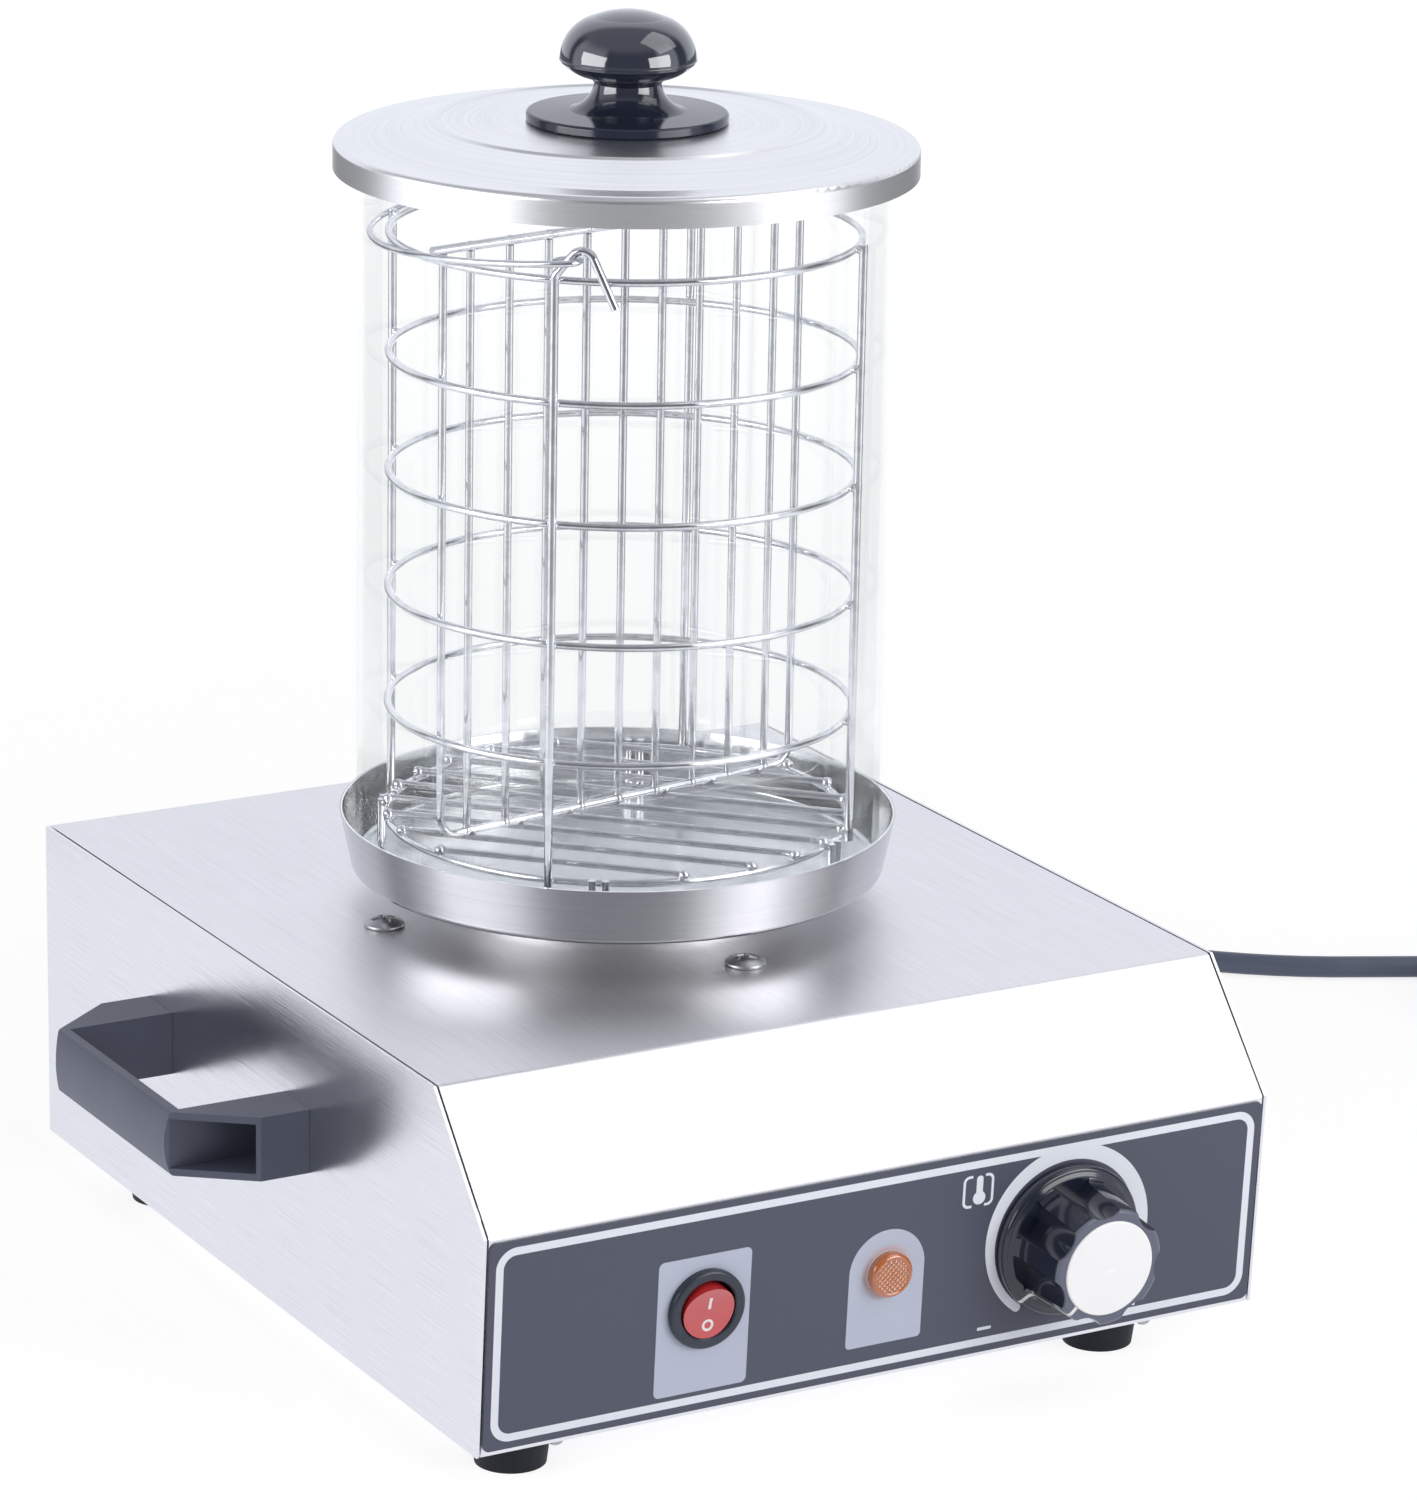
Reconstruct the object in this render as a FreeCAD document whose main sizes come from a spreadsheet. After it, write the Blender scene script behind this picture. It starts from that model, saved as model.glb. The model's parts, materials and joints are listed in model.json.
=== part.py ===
import FreeCAD, Part
import math
import os
import re

import Sketcher

from FreeCAD import Placement, Rotation, Vector

# A small counter-top steamer for sausages: a steel housing on four feet, a heated
# water pan on its top, a clear cylinder standing in the pan, a wire basket with a
# divider and a swinging handle inside it, and a lid with a round knob.
# X runs to the right, Y to the back and Z up; the feet stand on Z = 0.

# Sizes in millimetres and degrees
SIZES = {
    "HousingWidth": 285.0,
    "HousingDepth": 327.0,
    "HousingHeight": 111.0,
    "HousingCentre": 13.04,
    "FrontHeight": 72.6,
    "FrontSetback": 4.1,
    "SlantRun": 34.0,
    "SheetWall": 1.0,
    "BendRadius": 1.2,
    "SeamGap": 0.7,
    "SeatGap": 0.05,
    "LipDepth": 11.5,
    "OverlayInset": 1.8,
    "OverlayBottom": 1.6,
    "OverlayTopInset": 1.3,
    "OverlayWall": 0.5,
    "OverlayCorner": 2.5,
    "VentLength": 34.0,
    "VentWidth": 4.0,
    "VentPitch": 12.0,
    "VentHeight": 58.0,
    "FootHeight": 10.5,
    "FootRadius": 11.3,
    "FootTopRadius": 12.6,
    "FootInsetLeft": 20.5,
    "FootInsetRight": 48.5,
    "FootInsetFront": 20.5,
    "FootInsetRear": 51.5,
    "FootRecess": 5.2,
    "FootSeat": 5.5,
    "BaseScrewStep": 8.7,
    "BaseScrewInset": 3.4,
    "BaseScrewHead": 2.6,
    "BaseScrewShank": 1.4,
    "SmallShank": 1.9,
    "SmallHead": 3.8,
    "SmallHeadHeight": 2.0,
    "HandleLength": 123.0,
    "HandleReach": 42.0,
    "HandleHeight": 21.5,
    "HandleLeg": 19.0,
    "HandleGrip": 5.2,
    "HandleShoulder": 17.0,
    "HandleCrown": 1.7,
    "HandleRound": 1.2,
    "HandleCentre": 18.0,
    "HandleLift": 64.6,
    "PocketWall": 2.4,
    "PocketSide": 1.0,
    "PocketFloor": 7.0,
    "HandleScrewShank": 2.4,
    "HandleScrewHead": 4.4,
    "HandleScrewHeadHeight": 3.0,
    "HandleScrewLength": 14.0,
    "PanCentre": 15.2,
    "PanFlare": 3.6,
    "PanHeight": 19.4,
    "PanWall": 0.9,
    "PanCorner": 2.4,
    "CollarStep": 13.0,
    "CollarFlare": 4.0,
    "CollarHeight": 9.8,
    "CollarWall": 1.0,
    "CollarLip": 7.0,
    "PanScrewStep": 28.8,
    "PanScrewHead": 6.4,
    "PanScrewHeadHeight": 3.0,
    "PanScrewShank": 2.4,
    "HeaterRadius": 45.0,
    "HeaterClear": 4.0,
    "HeaterThickness": 8.0,
    "DishRim": 8.2,
    "DishDepth": 12.0,
    "DishWall": 1.0,
    "TerminalRadius": 3.0,
    "TerminalSpread": 30.0,
    "TerminalDrop": 8.0,
    "CutoutRadius": 8.0,
    "CutoutHeight": 7.0,
    "GlassRadius": 87.2,
    "GlassWall": 2.2,
    "GlassAbove": 29.75,
    "GlassClear": 0.9,
    "GlassSeat": 0.25,
    "LidOverhang": 7.8,
    "LidSkirt": 9.8,
    "LidWall": 0.9,
    "LidCorner": 2.2,
    "LidFlatInset": 3.2,
    "LidRise": 5.6,
    "LidBeadRadius": 62.0,
    "LidBeadHeight": 0.8,
    "LidSeat": 0.1,
    "KnobFlangeRadius": 32.8,
    "KnobFlangeHeight": 3.4,
    "KnobNeckRadius": 11.0,
    "KnobNeckHeight": 12.6,
    "KnobBallRadius": 22.2,
    "KnobSeamHeight": 19.6,
    "KnobHeight": 36.2,
    "KnobBore": 2.6,
    "BasketClear": 10.4,
    "RingWire": 1.25,
    "UprightWire": 1.4,
    "RingPitch": 39.5,
    "BasketHeight": 197.2,
    "BasketStand": 16.3,
    "FloorWire": 1.15,
    "FloorPitch": 16.2,
    "FloorAngle": -45.0,
    "BasketFootRadius": 1.25,
    "DividerAngle": 9.0,
    "DividerInset": 3.6,
    "DividerPitch": 15.6,
    "DividerWire": 1.3,
    "DividerCorner": 7.0,
    "TopBarReach": 0.7,
    "TopBarWire": 1.5,
    "BailWire": 1.1,
    "BailClear": 3.6,
    "BailEye": 4.0,
    "BailOffset": 4.0,
    "BailHeight": 6.6,
    "BailDroop": 4.7,
    "CrookLean": 40.0,
    "CrookRise": 9.0,
    "CrookBend": 4.0,
    "TailAcross": 20.0,
    "TailDrop": 7.5,
    "SwitchAcross": -64.4,
    "BezelRim": 2.0,
    "SwitchBezelHeight": 2.6,
    "BarrelWall": 1.5,
    "SwitchBarrel": 11.2,
    "SwitchDepth": 20.0,
    "RockerClear": 0.8,
    "RockerTilt": 9.0,
    "RockerPin": 1.2,
    "LampAcross": 1.2,
    "LensRim": 1.6,
    "LampLensHeight": 4.0,
    "LampBarrel": 6.0,
    "LampDepth": 22.0,
    "DialAcross": 67.5,
    "SkirtRim": 4.8,
    "DialSkirtHeight": 3.4,
    "DialGrip": 20.8,
    "DialHeight": 25.4,
    "DialGap": 0.8,
    "DialFlutes": 7.0,
    "FluteRadius": 8.0,
    "FluteDepth": 3.6,
    "CapInset": 4.7,
    "CapHeight": 1.6,
    "ShaftRadius": 3.0,
    "BushingWall": 2.0,
    "ThermostatWidth": 36.0,
    "ThermostatDepth": 28.0,
    "CapillaryRadius": 0.8,
    "BulbRadius": 3.0,
    "BulbLength": 62.0,
    "BlockLength": 42.0,
    "BlockWidth": 18.0,
    "BlockHeight": 16.0,
    "WireRadius": 1.2,
    "GlandInset": 47.5,
    "GlandUp": 26.0,
    "GlandRim": 3.0,
    "GlandBarrel": 7.0,
    "GlandLength": 34.0,
    "CordRadius": 4.1,
    "CordFloorGap": 0.15,
    "CoilRadius": 44.0,
    "CoilPitch": 8.9,
    "CoilAcross": 437.0,
    "CoilBack": 48.0,
    "PlugLead": 22.5,
    "PlugLength": 34.0,
    "PinRadius": 2.0,
    "PinLength": 19.0,
    "PinSpread": 9.5,
}

doc = FreeCAD.newDocument("SausageSteamer")
sheet = doc.addObject("Spreadsheet::Sheet", "Sizes")
for row, (name, value) in enumerate(SIZES.items(), 1):
    sheet.set(f"A{row}", name)
    sheet.set(f"B{row}", str(value))
    sheet.setAlias(f"B{row}", name)
doc.recompute()

nodes = {}


# Sums of sizes, written as words and used both as numbers and as expressions
def factor(word):
    total = 1.0
    for part in word.replace("/", "*/").split("*"):
        name = part.lstrip("/")
        value = SIZES[name] if name in SIZES else float(name)
        total = total / value if part.startswith("/") else total * value
    return total


def amount(text):
    total = 0.0
    sign = 1.0
    for word in text.split():
        if word in ("+", "-"):
            sign = 1.0 if word == "+" else -1.0
        else:
            total += sign * factor(word)
            sign = 1.0
    return total


def formula(text):
    return re.sub(r"[A-Za-z]+", lambda match: "Sizes." + match.group(0), text)


def bind(thing, path, text):
    thing.setExpression(path, formula(text))


def steps(count, name):
    sign = "- " if count < 0 else ""
    return f"{sign}{abs(count)}*{name}"


def minus(text):
    """The same sum with every sign turned round."""
    turned = ["-"]
    for word in text.split():
        turned.append({"+": "-", "-": "+"}.get(word, word))
    return " ".join(turned)


# Heights and places that many pieces share
BASE = "FootHeight"
PLATE_TOP = "FootHeight + HousingHeight"
PLATE_UNDER = "FootHeight + HousingHeight - SheetWall"
PAN_UNDER = PLATE_TOP + " + CollarHeight"
PAN_FLOOR = PAN_UNDER + " + PanWall"
GLASS_BASE = PAN_FLOOR + " + GlassSeat"
GLASS_HEIGHT = "BasketStand + BasketHeight + GlassAbove - GlassSeat"
FLOOR_RING = PAN_FLOOR + " + BasketStand"
TOP_RING = FLOOR_RING + " + BasketHeight"
LID_BASE = TOP_RING + " + GlassAbove + LidSeat + LidWall - LidSkirt"
LID_CROWN = LID_BASE + " + LidSkirt + LidRise"
AXIS_Y = "HousingCentre + PanCentre"
INNER_HALF = "HousingWidth/2 - SheetWall - SeamGap"
FOOT_LEFT = "0 - HousingWidth/2 + FootInsetLeft"
FOOT_RIGHT = "HousingWidth/2 - FootInsetRight"
FOOT_FRONT = "0 - HousingDepth/2 + FootInsetFront"
FOOT_REAR = "HousingDepth/2 - FootInsetRear"
BASE_SCREWS = [FOOT_LEFT + " + BaseScrewStep", FOOT_RIGHT + " + BaseScrewStep"]
GLAND_ACROSS = "HousingWidth/2 - GlandInset"
PANEL_MIDDLE = "FrontHeight/2"

# Radii that follow the clear cylinder or the heater
PAN_FLOOR_RADIUS = "GlassRadius + GlassClear + PanWall"
PAN_RIM_RADIUS = PAN_FLOOR_RADIUS + " + PanFlare"
LID_RADIUS = "GlassRadius + LidOverhang"
LID_FLAT = "GlassRadius - LidFlatInset"
BASKET_RADIUS = "GlassRadius - BasketClear"
UPRIGHT_RADIUS = BASKET_RADIUS + " + RingWire + UprightWire + SeatGap"
BAIL_RADIUS = UPRIGHT_RADIUS + " + BailClear"
DIVIDER_HALF = BASKET_RADIUS + " - DividerInset"
TOP_BAR_HALF = BASKET_RADIUS + " + TopBarReach"
HEATER_HOLE = "HeaterRadius + HeaterClear"
DISH_RADIUS = "HeaterRadius + 2*HeaterClear"
COLLAR_RADIUS = "HeaterRadius + CollarStep"
COLLAR_TOP_RADIUS = COLLAR_RADIUS + " + CollarFlare"
PAN_SCREW_CIRCLE = COLLAR_RADIUS + " + PanScrewStep"
DISH_FLANGE = PAN_SCREW_CIRCLE + " + DishRim"

# Radii of the controls
BEZEL_RADIUS = "SwitchBarrel + BezelRim"
SWITCH_BORE = "SwitchBarrel - BarrelWall"
ROCKER_RADIUS = "SwitchBarrel - BarrelWall - RockerClear"
LENS_RADIUS = "LampBarrel + LensRim"
SKIRT_RADIUS = "DialGrip + SkirtRim"
CAP_RADIUS = "DialGrip - CapInset"
BUSHING_RADIUS = "ShaftRadius + BushingWall"
GLAND_FLANGE = "GlandBarrel + GlandRim"
TILT = "atan(Sizes.FrontSetback / Sizes.FrontHeight)"


# Placing pieces
def put(thing, x="0", y="0", z="0", axis=None, angle=0.0):
    if axis is not None:
        thing.Placement = Placement(Vector(), Rotation(axis, angle))
    bind(thing, "Placement.Base.x", x)
    bind(thing, "Placement.Base.y", y)
    bind(thing, "Placement.Base.z", z)
    return thing


def on_panel(thing, across, up, out="0", more="0"):
    """Local X to the right, local Y up the front panel, local Z out of it."""
    thing.Placement = Placement(Vector(), Rotation(Vector(1, 0, 0), 90))
    thing.setExpression("Placement.Rotation.Angle", f"90 deg + {TILT} + ({formula(more)}) * 1 deg")
    bind(thing, "Placement.Base.x", across)
    slope = f"(Sizes.FrontHeight - ({formula(up)})) * Sizes.FrontSetback / Sizes.FrontHeight"
    front = "Sizes.HousingCentre - Sizes.HousingDepth / 2"
    thing.setExpression("Placement.Base.y", f"{front} + {slope} - ({formula(out)}) * cos({TILT})")
    height = f"Sizes.FootHeight + {formula(up)} - ({formula(out)}) * sin({TILT})"
    thing.setExpression("Placement.Base.z", height)
    return thing


def panel_point(across, up, out):
    tilt = math.atan2(SIZES["FrontSetback"], SIZES["FrontHeight"])
    slope = (SIZES["FrontHeight"] - up) * math.tan(tilt)
    y = SIZES["HousingCentre"] - SIZES["HousingDepth"] / 2 + slope - out * math.cos(tilt)
    return Vector(across, y, SIZES["FootHeight"] + up - out * math.sin(tilt))


# Sketch outlines: corners are (x, y) or (x, y, radius, side) when an arc leaves the corner
def arc_between(start, end, radius, side):
    chord = end - start
    half = chord.Length / 2
    left = Vector(-chord.y, chord.x, 0).normalize()
    reach = math.sqrt(max(radius * radius - half * half, 0.0))
    if side == "right":
        reach = -reach
    centre = (start + end) * 0.5 + left * reach
    first = math.atan2(start.y - centre.y, start.x - centre.x)
    last = math.atan2(end.y - centre.y, end.x - centre.x)
    circle = Part.Circle(centre, Vector(0, 0, 1), radius)
    if side == "right":
        if first < last:
            first += 2 * math.pi
        return Part.ArcOfCircle(circle, last, first), 2, 1
    if last < first:
        last += 2 * math.pi
    return Part.ArcOfCircle(circle, first, last), 1, 2


def hold(sketch, edge, end, x, y):
    for kind, axis, text in (("DistanceX", -2, x), ("DistanceY", -1, y)):
        if text == "0":
            sketch.addConstraint(Sketcher.Constraint("PointOnObject", edge, end, axis))
        else:
            fixed = sketch.addConstraint(Sketcher.Constraint(kind, -1, 1, edge, end, amount(text)))
            bind(sketch, f"Constraints[{fixed}]", text)


def draw(sketch, corners):
    spots = [Vector(amount(corner[0]), amount(corner[1]), 0) for corner in corners]
    count = len(corners)
    first = sketch.GeometryCount
    heads = []
    tails = []
    for number, corner in enumerate(corners):
        start = spots[number]
        end = spots[(number + 1) % count]
        if len(corner) == 4:
            shape, head, tail = arc_between(start, end, amount(corner[2]), corner[3])
        else:
            shape, head, tail = Part.LineSegment(start, end), 1, 2
        sketch.addGeometry(shape)
        heads.append(head)
        tails.append(tail)
    for number, corner in enumerate(corners):
        edge = first + number
        following = (number + 1) % count
        joined = Sketcher.Constraint("Coincident", edge, tails[number], first + following, heads[following])
        sketch.addConstraint(joined)
        hold(sketch, edge, heads[number], corner[0], corner[1])
        if len(corner) == 4:
            fixed = sketch.addConstraint(Sketcher.Constraint("Radius", edge, amount(corner[2])))
            bind(sketch, f"Constraints[{fixed}]", corner[2])


def draw_circle(sketch, x, y, radius):
    circle = Part.Circle(Vector(amount(x), amount(y), 0), Vector(0, 0, 1), amount(radius))
    edge = sketch.addGeometry(circle)
    hold(sketch, edge, 3, x, y)
    fixed = sketch.addConstraint(Sketcher.Constraint("Radius", edge, amount(radius)))
    bind(sketch, f"Constraints[{fixed}]", radius)


def box_corners(left, right, bottom, top):
    return [(left, bottom), (right, bottom), (right, top), (left, top)]


def slot_corners(x, y, length, width):
    """A slot along the sketch's second axis, with round ends."""
    left = f"{x} - {width}/2"
    right = f"{x} + {width}/2"
    low = f"{y} - {length}/2"
    high = f"{y} + {length}/2"
    bulge = f"0.6*{width}"
    return [(left, low, bulge, "left"), (right, low), (right, high, bulge, "left"), (left, high)]


# Bodies
def plane_of(body, role):
    return [feature for feature in body.Origin.OriginFeatures if feature.Role == role][0]


def sketch_in(body, name, plane, offset=None):
    sketch = body.newObject("Sketcher::SketchObject", name)
    sketch.AttachmentSupport = (plane_of(body, plane), [""])
    sketch.MapMode = "FlatFace"
    if offset is not None:
        bind(sketch, "AttachmentOffset.Base.z", offset)
    return sketch


def turned(label, corners):
    body = doc.addObject("PartDesign::Body", label)
    sketch = sketch_in(body, label + "_outline", "XZ_Plane")
    draw(sketch, corners)
    turn = body.newObject("PartDesign::Revolution", label + "_turn")
    turn.Profile = sketch
    turn.ReferenceAxis = (sketch, ["V_Axis"])
    turn.Angle = 360
    return body


def plate(label, plane, corners, thickness, offset=None, circles=(), slots=()):
    body = doc.addObject("PartDesign::Body", label)
    sketch = sketch_in(body, label + "_outline", plane, offset)
    draw(sketch, corners)
    for circle in circles:
        draw_circle(sketch, *circle)
    for slot in slots:
        draw(sketch, slot_corners(*slot))
    pad = body.newObject("PartDesign::Pad", label + "_pad")
    pad.Profile = sketch
    bind(pad, "Length", thickness)
    return body


def rounded(body, label, radius, choose):
    doc.recompute()
    tip = body.Tip
    names = []
    for number, edge in enumerate(tip.Shape.Edges, 1):
        if choose(edge):
            names.append(f"Edge{number}")
    fillet = body.newObject("PartDesign::Fillet", label)
    fillet.Base = (tip, names)
    bind(fillet, "Radius", radius)
    return fillet


def cylinder(label, radius, height):
    solid = doc.addObject("Part::Cylinder", label)
    bind(solid, "Radius", radius)
    bind(solid, "Height", height)
    return solid


def compound(label, pieces):
    group = doc.addObject("Part::Compound", label)
    group.Links = pieces
    return group


def cut(label, base, tools):
    result = doc.addObject("Part::Cut", label)
    result.Base = base
    result.Tool = compound(label + "_tools", tools)
    return result


def keep(label, thing):
    thing.Label = label
    nodes[label] = thing
    return thing


def screw(label, head, head_height, shank, length):
    """Local Z = 0 is the underside of a low domed head, the shank goes down."""
    corners = [("0", f"- {length}"), (shank, f"- {length}"), (shank, "0"), (head, "0")]
    corners += [(head, f"0.35*{head_height}", f"1.0*{head}", "left"), (f"0.45*{head}", head_height)]
    corners += [("0", head_height)]
    return turned(label, corners)


def nut(label, across, height, bore):
    prism = doc.addObject("Part::Prism", label + "_blank")
    prism.Polygon = 6
    bind(prism, "Circumradius", across)
    bind(prism, "Height", height)
    hole = cylinder(label + "_hole", bore, f"2*{height}")
    bind(hole, "Placement.Base.z", f"- 0.5*{height}")
    ring = doc.addObject("Part::Cut", label)
    ring.Base = prism
    ring.Tool = hole
    return ring


# Bent wires and cords: straight runs joined by tangent arcs
def bent_path(points, bends):
    edges = []
    start = points[0]
    for number in range(1, len(points) - 1):
        corner = points[number]
        before = (points[number - 1] - corner).normalize()
        after = (points[number + 1] - corner).normalize()
        half = before.getAngle(after) / 2
        length = bends[number - 1] / math.tan(half)
        first = corner + before * length
        last = corner + after * length
        middle_way = (before + after).normalize()
        centre = corner + middle_way * (bends[number - 1] / math.sin(half))
        middle = centre - middle_way * bends[number - 1]
        if (first - start).Length > 1e-6:
            edges.append(Part.LineSegment(start, first).toShape())
        edges.append(Part.Arc(first, middle, last).toShape())
        start = last
    if (points[-1] - start).Length > 1e-6:
        edges.append(Part.LineSegment(start, points[-1]).toShape())
    return edges


def tube(edges, radius):
    path = Part.Wire(edges)
    begin = edges[0].valueAt(edges[0].FirstParameter)
    ahead = edges[0].tangentAt(edges[0].FirstParameter)
    ring = Part.Wire([Part.Circle(begin, ahead, radius).toShape()])
    return path.makePipeShell([ring], True, False)


def as_feature(label, shape):
    feature = doc.addObject("Part::Feature", label)
    feature.Shape = shape
    return feature


def wire_shape(points, bend, radius):
    bends = bend if isinstance(bend, list) else [bend] * (len(points) - 2)
    return tube(bent_path(points, bends), radius)


# Housing: bent cover over top, slant and front
front = "- HousingDepth/2"
cover = doc.addObject("PartDesign::Body", "cover_sheet")
outline = sketch_in(cover, "cover_outline", "YZ_Plane")
low = "SheetWall + SeatGap"
draw(outline, [
    ("HousingDepth/2", "HousingHeight"),
    (f"{front} + SlantRun", "HousingHeight"),
    (front, "FrontHeight"),
    (f"{front} + FrontSetback", low),
    (f"{front} + FrontSetback + LipDepth", low),
    (f"{front} + FrontSetback + LipDepth", f"{low} + SheetWall"),
    (f"{front} + FrontSetback + SheetWall", f"{low} + SheetWall"),
    (f"{front} + SheetWall", "FrontHeight - 0.38*SheetWall"),
    (f"{front} + SlantRun + 0.46*SheetWall", "HousingHeight - SheetWall"),
    ("HousingDepth/2", "HousingHeight - SheetWall"),
])
cover_pad = cover.newObject("PartDesign::Pad", "cover_pad")
cover_pad.Profile = outline
cover_pad.SideType = "Symmetric"
bind(cover_pad, "Length", "HousingWidth - 2*SheetWall - 2*SeamGap")


def along_x_at(y, z):
    def choose(edge):
        ends = [vertex.Point for vertex in edge.Vertexes]
        near = [abs(end.y - y) < 0.2 and abs(end.z - z) < 0.2 for end in ends]
        return len(ends) == 2 and all(near)
    return choose


bend_y = [amount(f"{front} + SlantRun"), amount(front)]
bend_z = [amount("HousingHeight"), amount("FrontHeight")]
outer_bends = [along_x_at(y, z) for y, z in zip(bend_y, bend_z)]
rounded(cover, "cover_bends", "BendRadius + SheetWall",
        lambda edge: any(test(edge) for test in outer_bends))
inner_y = [amount(f"{front} + SlantRun + 0.46*SheetWall"), amount(f"{front} + SheetWall")]
inner_z = [amount("HousingHeight - SheetWall"), amount("FrontHeight - 0.38*SheetWall")]
inner_bends = [along_x_at(y, z) for y, z in zip(inner_y, inner_z)]
rounded(cover, "cover_inner_bends", "BendRadius", lambda edge: any(test(edge) for test in inner_bends))
put(cover, "0", "HousingCentre", BASE)

PAN_SCREW_SPOTS = [
    (PAN_SCREW_CIRCLE, AXIS_Y),
    (minus(PAN_SCREW_CIRCLE), AXIS_Y),
    ("0", f"{AXIS_Y} + {PAN_SCREW_CIRCLE}"),
    ("0", f"{AXIS_Y} {minus(PAN_SCREW_CIRCLE)}"),
]


def drill(label, radius, x, y, z, height):
    return put(cylinder(label, radius, height), x, y, z)


def panel_drill(label, radius, across, up):
    return on_panel(cylinder(label, radius, "12*SheetWall"), across, up, "- 6*SheetWall")


THROUGH_FROM = PLATE_TOP + " - 5*SheetWall"
cover_tools = [drill("heater_opening", HEATER_HOLE, "0", AXIS_Y, THROUGH_FROM, "10*SheetWall")]
for number, (x, y) in enumerate(PAN_SCREW_SPOTS):
    top_hole = drill(f"top_hole_{number}", "PanScrewShank + 0.3", x, y, THROUGH_FROM, "10*SheetWall")
    cover_tools.append(top_hole)
cover_tools.append(panel_drill("switch_hole", "SwitchBarrel + 0.15", "SwitchAcross", PANEL_MIDDLE))
cover_tools.append(panel_drill("lamp_hole", "LampBarrel + 0.15", "LampAcross", PANEL_MIDDLE))
cover_tools.append(panel_drill("dial_hole", BUSHING_RADIUS + " + 0.15", "DialAcross", PANEL_MIDDLE))
for number, x in enumerate(BASE_SCREWS):
    y = f"HousingCentre {front} + FrontSetback + BaseScrewInset"
    lip_hole = drill(f"lip_hole_{number}", "BaseScrewShank + 0.1", x, y, BASE + " - SheetWall", "5*SheetWall")
    cover_tools.append(lip_hole)
keep("top_cover", cut("top_cover", cover, cover_tools))

# Side panels
side_corners = [
    (f"{front} + FrontSetback", "0"),
    ("HousingDepth/2", "0"),
    ("HousingDepth/2", "HousingHeight"),
    (f"{front} + SlantRun", "HousingHeight"),
    (front, "FrontHeight"),
]
handle_spread = "HandleLength/2 - HandleLeg/2"
handle_circles = [
    (f"HandleCentre {minus(handle_spread)}", "HandleLift", "HandleScrewShank + 0.15"),
    (f"HandleCentre + {handle_spread}", "HandleLift", "HandleScrewShank + 0.15"),
]
SIDE_PANELS = (("left_side_panel", "- HousingWidth/2"), ("right_side_panel", "HousingWidth/2 - SheetWall"))
for label, offset in SIDE_PANELS:
    panel = plate(label, "YZ_Plane", side_corners, "SheetWall", offset, handle_circles)
    keep(label, put(panel, "0", "HousingCentre", BASE))

# Back panel with vents and the hole for the cord gland
back_vents = []
for number in range(-8, 4):
    back_vents.append((steps(number, "VentPitch"), "VentHeight", "VentLength", "VentWidth"))
back_corners = box_corners("- HousingWidth/2 + SheetWall + SeamGap", INNER_HALF, "SheetWall + SeatGap",
                           "HousingHeight - SheetWall - SeatGap")
back = plate("back_panel", "XZ_Plane", back_corners, "SheetWall", "- HousingDepth/2",
             [(GLAND_ACROSS, "GlandUp", "GlandBarrel + 0.1")], back_vents)
keep("back_panel", put(back, "0", "HousingCentre", BASE))

# Base plate with vents and screw holes
foot_spots = {
    "front_left": (FOOT_LEFT, FOOT_FRONT),
    "front_right": (FOOT_RIGHT, FOOT_FRONT),
    "rear_left": (FOOT_LEFT, FOOT_REAR),
    "rear_right": (FOOT_RIGHT, FOOT_REAR),
}
base_circles = [(x, y, "SmallShank + 0.1") for x, y in foot_spots.values()]
for x in BASE_SCREWS:
    base_circles.append((x, f"{front} + FrontSetback + BaseScrewInset", "BaseScrewShank + 0.1"))
base_vents = []
for number in range(-4, 5):
    base_vents.append((steps(number, "VentPitch"), "0.0 - VentLength", "VentLength", "VentWidth"))
    base_vents.append((steps(number, "VentPitch"), "VentLength*0.6", "VentLength", "VentWidth"))
base_corners = box_corners("- HousingWidth/2 + SheetWall + SeamGap", INNER_HALF,
                           f"{front} + FrontSetback + 0.3*SheetWall", "HousingDepth/2")
base = plate("base_plate", "XY_Plane", base_corners, "SheetWall", None, base_circles, base_vents)
keep("base_plate", put(base, "0", "HousingCentre", BASE))

# Screws under the front edge
base_screws = []
for number, x in enumerate(BASE_SCREWS):
    name = f"base_screw_{number}"
    piece = screw(name, "BaseScrewHead", "SmallHeadHeight", "BaseScrewShank", "6*SheetWall")
    y = f"HousingCentre {front} + FrontSetback + BaseScrewInset"
    base_screws.append(put(piece, x, y, BASE + " - SeatGap", Vector(1, 0, 0), 180))
keep("base_screws", compound("base_screws", base_screws))

# Rubber feet and their screws and nuts
foot_fixings = []
for name, (x, y) in foot_spots.items():
    foot = turned("foot_" + name, [
        ("FootRecess", "0"),
        ("FootRadius", "0"),
        ("FootTopRadius", "FootHeight - SeatGap"),
        ("SmallShank + 0.1", "FootHeight - SeatGap"),
        ("SmallShank + 0.1", "FootSeat"),
        ("FootRecess", "FootSeat"),
    ])
    keep("foot_" + name, put(foot, x, "HousingCentre + " + y, "0"))
    fixing = screw("foot_screw_" + name, "SmallHead", "SmallHeadHeight", "SmallShank", "11*SheetWall")
    foot_fixings.append(put(fixing, x, "HousingCentre + " + y, "FootSeat - SeatGap", Vector(1, 0, 0), 180))
    ring = nut("foot_nut_" + name, "SmallHead", "3*SheetWall", "SmallShank + 0.05")
    foot_fixings.append(put(ring, x, "HousingCentre + " + y, BASE + " + SheetWall + SeatGap"))
keep("foot_fixings", compound("foot_fixings", foot_fixings))

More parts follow.
